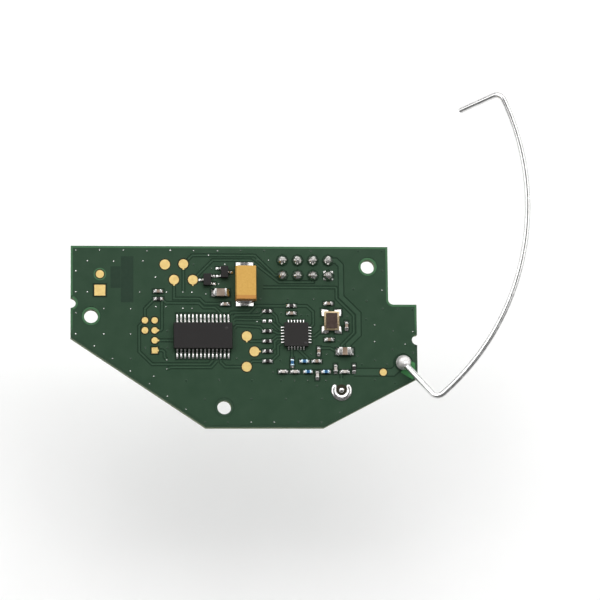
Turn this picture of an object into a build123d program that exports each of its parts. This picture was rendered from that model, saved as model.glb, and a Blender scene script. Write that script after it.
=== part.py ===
from build123d import *
import os
from math import atan2, cos, radians, sin, tan

os.makedirs("parts", exist_ok=True)

# Radio module, in millimetres. The origin is the centre of the left mounting hole on the
# underside of the board. X runs along the board, Y across it, and Z out of the side that
# carries the parts.

# Board and its outline
board_thickness = 1.6
copper_thickness = 0.05
board_length = 57.15
board_depth = 30.2
hole_to_top_edge = 11.75
hole_margin = 3.35
mounting_hole_diameter = 2.3
bottom_hole_x = 21.83
step_width = 4.7
step_drop = 9.7
step_corner_radius = 0.9
left_side_length = 15.36
left_slope_length = 22.15
right_side_length = 12.35
right_slope_length = 15.6
notch_radius = 0.85
left_notch_drop = 9.55
right_notch_drop = 5.9
edge_to_copper = 0.35
hole_to_copper = 0.45

# Tracks and test pads
track_width = 0.26
track_gap = 0.2
wide_track_width = 0.7
feed_width = 1.1
pad_stub_length = 0.22
corner_pad_size = 2.0
corner_round_pad_diameter = 1.45
supply_pad_diameter = 1.7
debug_pad_diameter = 1.15
signal_pad_diameter = 1.65
feed_pad_diameter = 1.25
debug_pitch_x = 1.6
debug_pitch_y = 1.67

# Microcontroller, in a package with gull-wing leads on its two long sides
controller_from_right_hole = 27.39
controller_y = -3.35
controller_pins_per_side = 14
controller_pitch = 0.65
controller_end_margin = 0.62
controller_body_width = 4.4
controller_body_height = 1.0
controller_standoff = 0.1
controller_lead_span = 6.4
controller_lead_width = 0.27
controller_lead_thickness = 0.15
controller_foot_length = 0.58
controller_shoulder = 0.24
controller_draft = 10.0
pin_one_dimple_diameter = 0.5
pin_one_dimple_depth = 0.05
controller_dimple_inset = 1.0

# Radio chip, a leadless package with its terminals flush in its four sides
resistors_to_radio = 4.75
radio_above_controller = 0.27
radio_body_size = 4.0
radio_body_height = 0.85
radio_terminals_per_side = 6
radio_pitch = 0.5
radio_terminal_width = 0.25
radio_terminal_length = 0.35
radio_terminal_height = 0.2
radio_dimple_inset = 0.5

# Tantalum capacitor, with folded strip terminals
controller_to_tantalum_x = 6.92
controller_to_tantalum_y = 8.92
tantalum_length = 5.8
tantalum_width = 3.15
tantalum_height = 2.4
tantalum_draft = 6.0
tantalum_strip_width = 2.2
tantalum_strip_thickness = 0.12
tantalum_heel_radius = 0.1
tantalum_foot_length = 1.3

# Crystal, in a ceramic case with a welded lid
radio_to_crystal_x = 5.87
radio_to_crystal_y = 2.3
crystal_width = 2.5
crystal_length = 3.2
crystal_case_height = 0.5
crystal_notch_radius = 0.2
crystal_ring_width = 0.3
crystal_ring_height = 0.12
crystal_lid_height = 0.16
crystal_land_reach = 0.5
crystal_land_width = 1.25

# Small transistors
transistor_body_width = 1.25
transistor_body_length = 2.0
transistor_body_height = 0.85
transistor_pitch = 1.3
transistor_lead_width = 0.3
transistor_lead_thickness = 0.13
transistor_lead_reach = 0.45
transistor_foot_length = 0.2
transistor_shoulder = 0.09
transistor_draft = 6.0

# Chip parts: length, width and height over the metal ends, and the length of each end
large_chip_length = 2.0
large_chip_width = 1.3
large_chip_height = 0.95
large_chip_end = 0.4
small_chip_length = 1.0
small_chip_width = 0.55
small_capacitor_height = 0.5
small_resistor_height = 0.35
small_chip_end = 0.25
end_plating = 0.04
resistors_from_controller = 10.64
resistor_pitch = 1.67

# Pin header, whose long pins point away from the parts
header_columns = 4
header_rows = 2
header_pitch = 2.54
header_from_top_edge = 2.35
header_from_right_hole = 6.58
header_body_height = 2.54
header_body_chamfer = 0.5
pin_width = 0.64
pin_tip_chamfer = 0.16
pin_tail_above_board = 1.3
pin_reach = 6.0
pin_drill_diameter = 1.0
header_land_diameter = 1.75
header_joint_height = 0.9
header_joint_slope = 25.0

# Coaxial solder point: a horseshoe for the screen round a dome for the core
radio_to_coax_x = 7.4
radio_to_coax_y = -9.17
shield_radius = 1.35
shield_width = 0.8
shield_height = 0.42
shield_slope = 30.0
shield_opening_angle = 76.0
core_joint_radius = 0.43
core_joint_height = 0.38
core_joint_slope = 30.0

# Antenna: one length of round wire bent by hand
wire_diameter = 1.0
wire_sides = 16
antenna_from_right_edge = 2.4
antenna_above_slope = 2.55
antenna_drill_diameter = 1.3
antenna_end_in_board = 0.3
antenna_leg_height = 0.75
antenna_leg_setback = 0.7
antenna_foot_length = 8.27
antenna_foot_angle = -52.4
antenna_foot_rise = 3.75
antenna_chord_length = 51.5
antenna_chord_angle = 77.9
antenna_chord_rise = 4.5
antenna_bow = 8.6
antenna_tip_length = 6.33
antenna_tip_angle = 197.5
antenna_tip_drop = 5.0
antenna_bend_setback = 1.3
antenna_land_diameter = 2.9
antenna_dome_radius = 1.28
antenna_dome_height = 1.35

# Solder: how far each joint reaches out past the metal it wets, and how high it climbs
lead_solder_reach = 0.6
lead_solder_height = 0.13
lead_land_width = 0.38
terminal_solder_reach = 0.5
small_solder_reach = 0.37
small_solder_height = 0.3
small_land_width = 0.62
large_solder_reach = 0.58
large_solder_height = 0.6
tantalum_solder_reach = 0.62
tantalum_solder_height = 0.8
tantalum_land_width = 2.85
transistor_solder_reach = 0.33
transistor_land_width = 0.42
crystal_solder_height = 0.32
crystal_solder_slope = 35.0

# Small rounds that repeat are drawn with flats
small_round_sides = 12
clearance_sides = 8


def near(centre, dx, dy):
    """A point on the board, measured from the centre of a group of parts."""
    return (centre[0] + dx, centre[1] + dy)


# Levels and places worked out from the sizes above
board_top = board_thickness
seat = board_top + copper_thickness
left_edge = -hole_margin
right_edge = left_edge + board_length
top_edge = hole_to_top_edge
bottom_edge = top_edge - board_depth
upper_right_edge = right_edge - step_width
step_y = top_edge - step_drop
left_corner_y = top_edge - left_side_length
right_corner_y = step_y - right_side_length
right_hole = (upper_right_edge - hole_margin, top_edge - hole_margin)
bottom_hole = (bottom_hole_x, bottom_edge + hole_margin)
left_hole = (0, 0)
mounting_holes = [left_hole, right_hole, bottom_hole]
left_notch = (left_edge, top_edge - left_notch_drop)
right_notch = (right_edge, step_y - right_notch_drop)
controller = (right_hole[0] - controller_from_right_hole, controller_y)
resistor_column_x = controller[0] + resistors_from_controller
radio = (resistor_column_x + resistors_to_radio, controller_y + radio_above_controller)
tantalum = near(controller, controller_to_tantalum_x, controller_to_tantalum_y)
crystal = near(radio, radio_to_crystal_x, radio_to_crystal_y)
coax = near(radio, radio_to_coax_x, radio_to_coax_y)
antenna = (right_edge - antenna_from_right_edge, right_corner_y + antenna_above_slope)
header_last_x = right_hole[0] - header_from_right_hole
header_centre = (
    header_last_x - header_pitch * (header_columns - 1) / 2,
    top_edge - header_from_top_edge - header_pitch * (header_rows - 1) / 2,
)


def on_board(point, angle=0.0, height=0.0):
    """A place on top of the board, turned about Z."""
    return Location((point[0], point[1], board_top + height), (0, 0, angle))


def row(count, pitch):
    """Centred positions of a row."""
    return [(i - (count - 1) / 2) * pitch for i in range(count)]


def copies(solid, places):
    """The same solid at each place, as separate solids."""
    return Compound(children=[solid.moved(place) for place in places])


# Where each kind of part stands: a point and the direction of its length
line_resistor_rows = [0, 2, 3, 4, 5]
line_resistors = [((resistor_column_x, radio[1] + 3.95 - resistor_pitch * i), 0) for i in line_resistor_rows]
empty_resistor_place = ((resistor_column_x, radio[1] + 3.95 - resistor_pitch), 0)
other_resistors = [
    (near(controller, -7.31, 6.22), 0),
    (near(radio, -0.75, 4.85), 0),
    (near(radio, 9.5, -5.63), 90),
]
small_capacitors = [
    (near(controller, -7.33, 7.48), 0),
    (near(tantalum, -3.23, -3.57), 0),
    (near(radio, -0.75, 3.58), 0),
    (near(radio, 5.4, 5.25), 0),
    (near(radio, 8.35, 1.5), 90),
    (near(radio, 5.45, -0.8), 0),
    (near(radio, 3.7, -2.75), 90),
    (near(radio, 3.35, -4.4), 0),
]
matching_inductors = [
    (near(radio, -0.7, -4.65), 90),
    (near(radio, 1.3, -4.42), 0),
    (near(radio, 1.9, -6.15), 0),
    (near(radio, 4.87, -6.15), 0),
]
matching_capacitors = [
    (near(radio, -2.2, -6.15), 0),
    (near(radio, -0.24, -6.15), 0),
    (near(radio, 3.42, -6.7), 90),
    (near(radio, 6.45, -5.65), 90),
    (near(radio, 7.98, -6.15), 0),
]
supply_capacitor = (near(tantalum, -3.98, -1.67), 0)
reservoir_capacitor = (near(radio, 7.98, -2.8), 0)
left_transistor = (near(tantalum, -6.18, 0.5), 180)
right_transistor = (near(tantalum, -3.31, 1.79), 0)


# Solder joints: each place stands at the outer edge of a foot or end, with +X pointing out
def chip_ends(chips, length):
    """The two end places of each chip part."""
    places = []
    for point, angle in chips:
        for side in (0, 180):
            turn = radians(angle + side)
            end = near(point, length / 2 * cos(turn), length / 2 * sin(turn))
            places.append(on_board(end, angle + side))
    return places


def controller_toes():
    """The tips of the leads on both long sides of the microcontroller."""
    places = []
    for side in (1, -1):
        for x in row(controller_pins_per_side, controller_pitch):
            tip = near(controller, x, side * controller_lead_span / 2)
            places.append(on_board(tip, 90 * side))
    return places


def radio_ends():
    """The outer ends of the radio chip's terminals, side by side round the package."""
    places = []
    for turn in (0, 90, 180, 270):
        for y in row(radio_terminals_per_side, radio_pitch):
            side = Location((radio[0], radio[1], board_top), (0, 0, turn))
            places.append(side * Location((radio_body_size / 2, y, 0)))
    return places


def transistor_toes(transistor):
    """The three lead tips of a small transistor: one alone, two on the other side."""
    point, angle = transistor
    reach = transistor_body_width / 2 + transistor_lead_reach
    frame = on_board(point, angle)
    lone = frame * Location((reach, 0, 0))
    pair = [frame * Location((-reach, y, 0), (0, 0, 180)) for y in row(2, transistor_pitch)]
    return [lone, *pair]


small_chips = (
    line_resistors + other_resistors + small_capacitors + matching_inductors + matching_capacitors
)
large_chips = [supply_capacitor, reservoir_capacitor]
tantalum_outer_length = tantalum_length + 2 * tantalum_strip_thickness
joint_kinds = {
    "controller": (
        controller_toes(), controller_foot_length, lead_solder_reach,
        lead_land_width, lead_solder_height,
    ),
    "radio": (
        radio_ends(), radio_terminal_length, terminal_solder_reach,
        radio_terminal_width, radio_terminal_height,
    ),
    "tantalum": (
        chip_ends([(tantalum, 90)], tantalum_outer_length), tantalum_foot_length,
        tantalum_solder_reach, tantalum_land_width, tantalum_solder_height,
    ),
    "transistors": (
        transistor_toes(left_transistor) + transistor_toes(right_transistor),
        transistor_foot_length, transistor_solder_reach, transistor_land_width,
        transistor_lead_thickness,
    ),
    "large_chips": (
        chip_ends(large_chips, large_chip_length), large_chip_end, large_solder_reach,
        large_chip_width, large_solder_height,
    ),
    "small_chips": (
        chip_ends(small_chips, small_chip_length), small_chip_end, small_solder_reach,
        small_land_width, small_solder_height,
    ),
}
bare_lands = chip_ends([empty_resistor_place], small_chip_length)


def land_areas(grow=0.0):
    """The flat area of every land that carries solder, as a sketch on the board's top."""
    sides = clearance_sides if grow else small_round_sides
    with BuildSketch() as areas:
        for places, under, reach, width, height in joint_kinds.values():
            centre = Location(((reach - under) / 2, 0))
            spots = [Location((p.position.X, p.position.Y), p.orientation.Z) for p in places]
            with Locations(*[spot * centre for spot in spots]):
                Rectangle(under + reach + 2 * grow, width + 2 * grow)
        with Locations(*[(p.position.X, p.position.Y) for p in bare_lands]):
            Rectangle(small_land_width + 2 * grow, small_land_width + 2 * grow)
        with Locations(*crystal_corners()):
            Rectangle(crystal_land_width + 2 * grow, crystal_land_width + 2 * grow)
        with Locations(*header_places()):
            RegularPolygon(header_land_diameter / 2 + grow, sides)
        with Locations(antenna):
            RegularPolygon(antenna_land_diameter / 2 + grow, 2 * sides, major_radius=False)
        with Locations(coax):
            RegularPolygon(core_joint_radius + grow, sides)
    return areas.sketch


def chip_gaps():
    """The bare strip under each chip part, between the clearances of its two lands."""
    sizes = [
        (small_chips, small_chip_length, small_land_width),
        (large_chips, large_chip_length, large_chip_width),
    ]
    with BuildSketch() as areas:
        for chips, length, width in sizes:
            with Locations(*[Location(point, angle) for point, angle in chips]):
                Rectangle(length, width + 2 * track_gap)
    return areas.sketch


def header_places():
    """The pins of the header, in plan."""
    return [
        near(header_centre, x, y)
        for y in row(header_rows, header_pitch)
        for x in row(header_columns, header_pitch)
    ]


def crystal_corners():
    """The centres of the four lands under the corners of the crystal."""
    inset = crystal_land_width / 2 - crystal_land_reach
    dx = crystal_width / 2 - inset
    dy = crystal_length / 2 - inset
    return [near(crystal, sx * dx, sy * dy) for sx in (-1, 1) for sy in (-1, 1)]


# Test pads: point, size and the directions of the short stubs where a track joins
corner_round_pad = near(left_hole, 1.45, 7.0)
corner_square_pad = near(left_hole, 1.45, 4.3)
supply_pads = [
    (near(controller, -6.21, 12.0), []),
    (near(controller, -3.16, 12.1), [-90, 45]),
    (near(controller, -4.71, 9.45), [-90]),
    (near(controller, -1.61, 9.45), [-90]),
]
debug_corner = near(controller, -9.51, 2.65)
debug_pads = [
    (near(debug_corner, 0, 0), []),
    (near(debug_corner, debug_pitch_x, 0), []),
    (near(debug_corner, 0, -debug_pitch_y), []),
    (near(debug_corner, debug_pitch_x, -debug_pitch_y), [0]),
    (near(debug_corner, debug_pitch_x, -2 * debug_pitch_y), [0]),
]
debug_square_pad = near(debug_corner, debug_pitch_x, -3 * debug_pitch_y)
signal_pads = [
    (near(controller, 7.24, 0.05), [-90]),
    (near(controller, 8.49, -2.5), [0]),
    (near(controller, 7.19, -5.05), []),
]
feed_y = radio[1] - 6.2
feed_pad = (antenna[0] - 3.3, feed_y)


def test_pad_areas(grow=0.0):
    """Every bare gold pad, with its stubs, as one sketch."""
    sized_pads = [
        (corner_round_pad, corner_round_pad_diameter, []),
        *[(point, supply_pad_diameter, stubs) for point, stubs in supply_pads],
        *[(point, debug_pad_diameter, stubs) for point, stubs in debug_pads],
        *[(point, signal_pad_diameter, stubs) for point, stubs in signal_pads],
        (feed_pad, feed_pad_diameter, []),
    ]
    sides = clearance_sides if grow else small_round_sides
    with BuildSketch() as areas:
        for point, diameter, stubs in sized_pads:
            with Locations(point):
                RegularPolygon(diameter / 2 + grow, sides)
            for angle in stubs:
                reach = diameter / 2 + pad_stub_length
                stub = Location(point, angle) * Location((reach / 2, 0))
                with Locations(stub):
                    Rectangle(reach, track_width + 2 * grow)
        with Locations(corner_square_pad):
            Rectangle(corner_pad_size + 2 * grow, corner_pad_size + 2 * grow)
        with Locations(debug_square_pad):
            Rectangle(debug_pad_diameter + 2 * grow, debug_pad_diameter + 2 * grow)
    return areas.sketch


def track_routes():
    """Each track as its corner points, run from part to part."""
    top_run = top_edge - 1.55
    pad_row = [point for point, stubs in supply_pads]
    first_pin = header_places()[0]
    third_pin = header_places()[2]
    resistor_left = [near(point, -0.6, 0) for point, angle in line_resistors]
    resistor_right = [near(point, 0.6, 0) for point, angle in line_resistors]
    empty_left = near(empty_resistor_place[0], -0.6, 0)
    empty_right = near(empty_resistor_place[0], 0.6, 0)
    radio_left = [near(radio, -2.3, y) for y in reversed(row(6, radio_pitch))]
    radio_right = [near(radio, 2.3, y) for y in reversed(row(6, radio_pitch))]
    pair_left = near(other_resistors[0][0], -0.6, 0)
    pair_right = near(other_resistors[0][0], 0.6, 0)
    bias_left = near(other_resistors[1][0], -0.6, 0)
    bias_right = near(other_resistors[1][0], 0.6, 0)
    return [
        [pad_row[1], near(pad_row[1], 1.45, top_run - pad_row[1][1]),
         (first_pin[0] - 1.2 - (top_run - first_pin[1]), top_run), near(first_pin, -1.2, 0), first_pin],
        [pad_row[3], near(pad_row[3], 3.3, 3.3), near(pad_row[3], 9.6, 3.3),
         (third_pin[0] - 5.65, third_pin[1] - 1.1), (third_pin[0], third_pin[1] - 1.1), third_pin],
        [pad_row[1], near(controller, -3.16, 7.45)],
        [pad_row[2], near(controller, -4.71, 6.3), near(controller, -0.5, 6.3),
         near(controller, 0.35, 5.45), near(small_capacitors[1][0], -0.6, 0.1)],
        [pair_right, near(pair_right, 0.65, -0.65), near(controller, -0.6, 5.55),
         near(controller, 0.15, 4.8), near(controller, 2.0, 4.8), near(controller, 3.55, 3.2)],
        [pair_left, near(debug_corner, 0, 1.95), debug_corner],
        [pair_right, near(debug_corner, 2.8, -1.4), near(debug_corner, 2.55, -debug_pitch_y),
         near(debug_corner, debug_pitch_x, -debug_pitch_y)],
        [near(debug_corner, debug_pitch_x, -2 * debug_pitch_y), near(debug_corner, 4.7, -2 * debug_pitch_y)],
        [debug_square_pad, near(debug_square_pad, 1.3, 0), near(debug_square_pad, 1.6, -0.3),
         near(debug_square_pad, 1.6, -1.1), near(debug_square_pad, 1.95, -1.5)],
        [debug_corner, near(debug_corner, -0.95, -0.95), near(debug_corner, -0.95, -5.2),
         near(debug_corner, 1.15, -7.3), near(controller, 1.0, -4.65), near(controller, 1.62, -4.0)],
        [near(controller, -5.96, -5.45), near(controller, -5.3, -5.15), near(controller, 1.35, -5.15),
         near(controller, 2.28, -4.1)],
        [near(controller, 2.92, -3.9), near(controller, 2.92, -4.3), near(controller, 3.7, -5.05),
         signal_pads[2][0]],
        [near(controller, 4.22, 3.5), near(controller, 4.75, 4.0), near(controller, 7.7, 4.0),
         near(bias_left, -5.25, 0), bias_left],
        [bias_right, near(bias_right, 1.95, 0), near(radio, 2.85, 3.85), near(radio, 2.85, 1.75),
         radio_right[0]],
        [near(controller, 5.1, 3.3), near(controller, 5.35, 3.55), near(resistor_left[0], -0.65, -0.65),
         resistor_left[0]],
        [near(controller, 5.1, 2.6), near(controller, 5.35, 2.85), near(empty_left, -0.5, 0.25), empty_left],
        [near(controller, 5.2, 1.4), near(controller, 5.6, 1.8), near(resistor_left[1], -0.65, 0.7),
         resistor_left[1]],
        [signal_pads[0][0], near(signal_pads[0][0], 0, -0.3), near(resistor_left[2], -2.2, 0),
         resistor_left[2]],
        [signal_pads[1][0], resistor_left[3]],
        [resistor_left[4], near(resistor_left[4], -1.9, 0), signal_pads[2][0]],
        [resistor_right[0], near(resistor_right[0], 0.9, -0.9), near(radio_left[0], -0.75, 0.75),
         radio_left[0]],
        [empty_right, near(radio_left[1], -0.4, 0.1), radio_left[1]],
        [resistor_right[1], near(resistor_right[1], 0.4, 0), near(radio_left[2], -0.7, 0), radio_left[2]],
        [resistor_right[2], near(radio_left[3], -0.95, 0), radio_left[3]],
        [resistor_right[3], near(resistor_right[3], 0.6, 0.6), near(radio_left[4], -1.25, -0.4),
         near(radio_left[4], -0.85, 0), radio_left[4]],
        [resistor_right[4], near(resistor_right[4], 1.15, 1.15), near(radio_left[5], -0.7, -0.5),
         radio_left[5]],
        [radio_right[3], near(radio_right[3], 0.75, 0), near(crystal, -1.6, -1.5)],
        [near(radio, 0.25, -2.3), near(radio, 1.85, -3.9), near(radio, 1.85, -4.4)],
        [near(radio, -0.75, -2.3), near(radio, -0.7, -4.1)],
        [near(radio, 3.7, -2.2), near(radio, 5.6, -2.2), near(radio, 6.7, -2.8)],
        [near(radio, 7.4, -6.3), coax],
        [near(radio, -5.4, 7.95), near(radio, 6.6, 7.95), near(radio, 6.75, 7.8), near(radio, 6.75, 6.1),
         near(radio, 9.55, 3.3), near(radio, 9.55, 0.4), near(radio, 7.5, -1.7), near(radio, 7.5, -2.4)],
    ]


def wide_track_routes():
    """The broader supply track beside the crystal."""
    last_pin = header_places()[-1]
    return [
        [last_pin, near(last_pin, 1.3, 0), near(last_pin, 2.1, -0.8), near(radio, 7.55, 6.4),
         near(radio, 10.35, 3.6), near(radio, 10.35, 0.1), near(radio, 8.6, -1.6), near(radio, 8.6, -2.4)],
    ]


def feed_route():
    """The antenna feed, from the matching parts to the wire."""
    start = near(radio, 9.5, -6.2)
    return [[start, near(feed_pad, 1.6, 0), antenna]]


def track_areas(grow=0.0):
    """The tracks as a sketch, widened by the gap beside them when grow is set."""
    routes_by_width = [
        (track_routes(), track_width),
        (wide_track_routes(), wide_track_width),
        (feed_route(), feed_width),
    ]
    strips = []
    for routes, width in routes_by_width:
        for points in routes:
            with BuildLine() as centre_line:
                Polyline(*points)
            strips.extend(trace(centre_line.line, line_width=width + 2 * grow).faces())
    with BuildSketch() as areas:
        add(strips)
    return areas.sketch


# Board: one laminate plate with chamfered corners, a step, two locating notches, three
# mounting holes and the drilled holes of the header and antenna
def board_corner_points():
    """Corners of the board's outline, clockwise from the top left."""
    return [
        (left_edge, top_edge),
        (upper_right_edge, top_edge),
        (upper_right_edge, step_y),
        (right_edge, step_y),
        (right_edge, right_corner_y),
        (right_edge - right_slope_length, bottom_edge),
        (left_edge + left_slope_length, bottom_edge),
        (left_edge, left_corner_y),
    ]


def board_outline():
    """The outline of the board as a sketch, with the inner corner of the step rounded."""
    with BuildSketch() as outline:
        with BuildLine():
            Polyline(*board_corner_points(), close=True)
        make_face()
        inner_corner = outline.vertices().sort_by_distance((upper_right_edge, step_y))[0]
        fillet(inner_corner, radius=step_corner_radius)
        with Locations(left_notch, right_notch):
            Circle(notch_radius, mode=Mode.SUBTRACT)
    return outline.sketch


board_plan = board_outline()

with BuildPart() as circuit_board:
    with BuildSketch():
        add(board_plan)
        with Locations(*mounting_holes):
            Circle(mounting_hole_diameter / 2, mode=Mode.SUBTRACT)
        with Locations(*header_places()):
            RegularPolygon(pin_drill_diameter / 2, small_round_sides, mode=Mode.SUBTRACT)
        with Locations(antenna):
            Circle(antenna_drill_diameter / 2, mode=Mode.SUBTRACT)
    extrude(amount=board_thickness)
circuit_board.part.label = "circuit_board"
export_step(circuit_board.part, "parts/circuit_board.step")

# Copper under the solder mask: the ground area stands back from the edge, the holes, the
# tracks and the lands, and leaves a clear wedge beside the antenna
tracks = track_areas()
lands = land_areas()
pads = test_pad_areas()
track_clearances = track_areas(track_gap)
land_clearances = land_areas(track_gap)
pad_clearances = test_pad_areas(track_gap)
chip_strips = chip_gaps()

with BuildPart() as ground_copper:
    with BuildSketch(Plane.XY.offset(board_top)):
        add(board_plan)
        offset(amount=-edge_to_copper, kind=Kind.INTERSECTION)
        with Locations(*mounting_holes):
            Circle(mounting_hole_diameter / 2 + hole_to_copper, mode=Mode.SUBTRACT)
        add(track_clearances, mode=Mode.SUBTRACT)
        add(land_clearances, mode=Mode.SUBTRACT)
        add(pad_clearances, mode=Mode.SUBTRACT)
        add(chip_strips, mode=Mode.SUBTRACT)
        with Locations(coax):
            RegularPolygon(
                shield_radius + shield_width / 2 + track_gap, 2 * clearance_sides,
                major_radius=False, mode=Mode.SUBTRACT,
            )
        with BuildLine():
            Polyline(
                near(antenna, 1.0, 0.4),
                near(antenna, 2.6, -0.3),
                near(antenna, 2.6, -3.2),
                near(antenna, 1.5, -3.05),
                near(antenna, -0.2, -1.3),
                close=True,
            )
        make_face(mode=Mode.SUBTRACT)
    extrude(amount=copper_thickness)
ground_copper.part.label = "ground_copper"
export_step(ground_copper.part, "parts/ground_copper.step")

with BuildPart() as signal_tracks:
    with BuildSketch(Plane.XY.offset(board_top)):
        add(tracks)
        add(lands, mode=Mode.SUBTRACT)
        add(pads, mode=Mode.SUBTRACT)
    extrude(amount=copper_thickness)
signal_tracks.part.label = "signal_tracks"
export_step(signal_tracks.part, "parts/signal_tracks.step")

with BuildPart() as test_pads:
    with BuildSketch(Plane.XY.offset(board_top)):
        add(pads)
    extrude(amount=copper_thickness)
test_pads.part.label = "test_pads"
export_step(test_pads.part, "parts/test_pads.step")


# Shapes that repeat: moulded bodies, bent leads and solder
def moulded_body(length, width, bottom, top, band, draft):
    """A moulded package that is widest at its parting band and tapers above and below it."""
    middle = (bottom + top) / 2
    with BuildPart() as body:
        with BuildSketch(Plane.XY.offset(middle)):
            Rectangle(length, width)
        extrude(amount=band / 2, both=True)
        extrude(body.faces().sort_by(Axis.Z)[-1], amount=top - middle - band / 2, taper=draft)
        extrude(body.faces().sort_by(Axis.Z)[0], amount=middle - band / 2 - bottom, taper=draft)
    return body.part


def gull_wing_lead(width, thickness, reach, foot, shoulder, height):
    """A strip that leaves the body along +X, steps down and ends in a flat foot."""
    with BuildPart() as lead:
        with BuildSketch(Plane.XZ):
            with BuildLine() as middle:
                Polyline(
                    (0, height),
                    (shoulder, height),
                    (reach - foot, thickness / 2),
                    (reach, thickness / 2),
                )
            trace(middle.line, line_width=thickness)
        extrude(amount=width / 2, both=True)
    return lead.part


def solder_joints(kind):
    """One joint per place: a thin land under the metal and a slope of solder outside it."""
    places, under, reach, width, height = joint_kinds[kind]
    with BuildPart() as joint:
        with BuildSketch(Plane.XZ):
            with BuildLine():
                Polyline(
                    (-under, 0),
                    (reach, 0),
                    (0, copper_thickness + height),
                    (0, copper_thickness),
                    (-under, copper_thickness),
                    close=True,
                )
            make_face()
        extrude(amount=width / 2, both=True)
    return copies(joint.part, places)


# Microcontroller
controller_length = controller_pitch * (controller_pins_per_side - 1) + 2 * controller_end_margin
controller_middle = controller_standoff + controller_body_height / 2
controller_package = moulded_body(
    controller_length, controller_body_width, controller_standoff,
    controller_standoff + controller_body_height, controller_lead_thickness, controller_draft,
)
with BuildPart() as controller_body:
    with Locations(on_board(controller, height=copper_thickness)):
        add(controller_package)
    dimple = near(
        controller, controller_length / 2 - controller_dimple_inset,
        controller_body_width / 2 - controller_dimple_inset,
    )
    with BuildSketch(Plane.XY.offset(seat + controller_standoff + controller_body_height)):
        with Locations(dimple):
            RegularPolygon(pin_one_dimple_diameter / 2, small_round_sides)
    extrude(amount=-pin_one_dimple_depth, mode=Mode.SUBTRACT)
controller_body.part.label = "controller_body"
export_step(controller_body.part, "parts/controller_body.step")

controller_lead_reach = (controller_lead_span - controller_body_width) / 2
controller_lead = gull_wing_lead(
    controller_lead_width, controller_lead_thickness, controller_lead_reach,
    controller_foot_length, controller_shoulder, controller_middle,
)
controller_root = Location((-controller_lead_reach, 0, copper_thickness))
with BuildPart() as controller_leads:
    add(copies(controller_lead, [toe * controller_root for toe in controller_toes()]))
controller_leads.part.label = "controller_leads"
export_step(controller_leads.part, "parts/controller_leads.step")

with BuildPart() as controller_solder:
    add(solder_joints("controller"))
controller_solder.part.label = "controller_solder"
export_step(controller_solder.part, "parts/controller_solder.step")

# Radio chip
terminal_box = Location((-radio_terminal_length / 2, 0, copper_thickness + radio_terminal_height / 2))
with BuildPart() as radio_chip_terminals:
    with Locations(*[end * terminal_box for end in radio_ends()]):
        Box(radio_terminal_length, radio_terminal_width, radio_terminal_height)
radio_chip_terminals.part.label = "radio_chip_terminals"
export_step(radio_chip_terminals.part, "parts/radio_chip_terminals.step")

with BuildPart() as radio_chip_body:
    with Locations(on_board(radio, height=copper_thickness)):
        Box(
            radio_body_size, radio_body_size, radio_body_height,
            align=(Align.CENTER, Align.CENTER, Align.MIN),
        )
    dimple = near(
        radio, radio_body_size / 2 - radio_dimple_inset, radio_dimple_inset - radio_body_size / 2
    )
    with BuildSketch(Plane.XY.offset(seat + radio_body_height)):
        with Locations(dimple):
            RegularPolygon(pin_one_dimple_diameter / 2, small_round_sides)
    extrude(amount=-pin_one_dimple_depth, mode=Mode.SUBTRACT)
    add(radio_chip_terminals.part, mode=Mode.SUBTRACT)
radio_chip_body.part.label = "radio_chip_body"
export_step(radio_chip_body.part, "parts/radio_chip_body.step")

with BuildPart() as radio_chip_solder:
    add(solder_joints("radio"))
radio_chip_solder.part.label = "radio_chip_solder"
export_step(radio_chip_solder.part, "parts/radio_chip_solder.step")

# Tantalum capacitor: the body stands on the feet of its two folded strips
tantalum_package = moulded_body(
    tantalum_length, tantalum_width, tantalum_strip_thickness,
    tantalum_strip_thickness + tantalum_height, tantalum_strip_thickness, tantalum_draft,
)
with BuildPart() as tantalum_capacitor_body:
    with Locations(on_board(tantalum, 90, copper_thickness)):
        add(tantalum_package)
tantalum_capacitor_body.part.label = "tantalum_capacitor_body"
export_step(tantalum_capacitor_body.part, "parts/tantalum_capacitor_body.step")

strip_top = tantalum_strip_thickness * 1.5 + tantalum_height / 2
with BuildPart() as folded_strip:
    with BuildSketch(Plane.XZ):
        with BuildLine():
            Polyline(
                (0, 0),
                (0, strip_top),
                (-tantalum_strip_thickness, strip_top),
                (-tantalum_strip_thickness, tantalum_strip_thickness),
                (-tantalum_foot_length, tantalum_strip_thickness),
                (-tantalum_foot_length, 0),
                close=True,
            )
        make_face()
    extrude(amount=tantalum_strip_width / 2, both=True)
    heel = folded_strip.edges().filter_by(Axis.Y).sort_by(lambda e: e.center().X - e.center().Z)[-1]
    fillet(heel, radius=tantalum_heel_radius)

with BuildPart() as tantalum_capacitor_terminals:
    lift = Location((0, 0, copper_thickness))
    ends = chip_ends([(tantalum, 90)], tantalum_outer_length)
    add(copies(folded_strip.part, [end * lift for end in ends]))
tantalum_capacitor_terminals.part.label = "tantalum_capacitor_terminals"
export_step(tantalum_capacitor_terminals.part, "parts/tantalum_capacitor_terminals.step")

with BuildPart() as tantalum_capacitor_solder:
    add(solder_joints("tantalum"))
tantalum_capacitor_solder.part.label = "tantalum_capacitor_solder"
export_step(tantalum_capacitor_solder.part, "parts/tantalum_capacitor_solder.step")

# Crystal: ceramic case with notched corners, seal ring and welded lid
with BuildPart() as crystal_case:
    with BuildSketch(Plane.XY.offset(seat)):
        with Locations(crystal):
            Rectangle(crystal_width, crystal_length)
            with GridLocations(crystal_width, crystal_length, 2, 2):
                Circle(crystal_notch_radius, mode=Mode.SUBTRACT)
    extrude(amount=crystal_case_height)
crystal_case.part.label = "crystal_case"
export_step(crystal_case.part, "parts/crystal_case.step")

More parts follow.
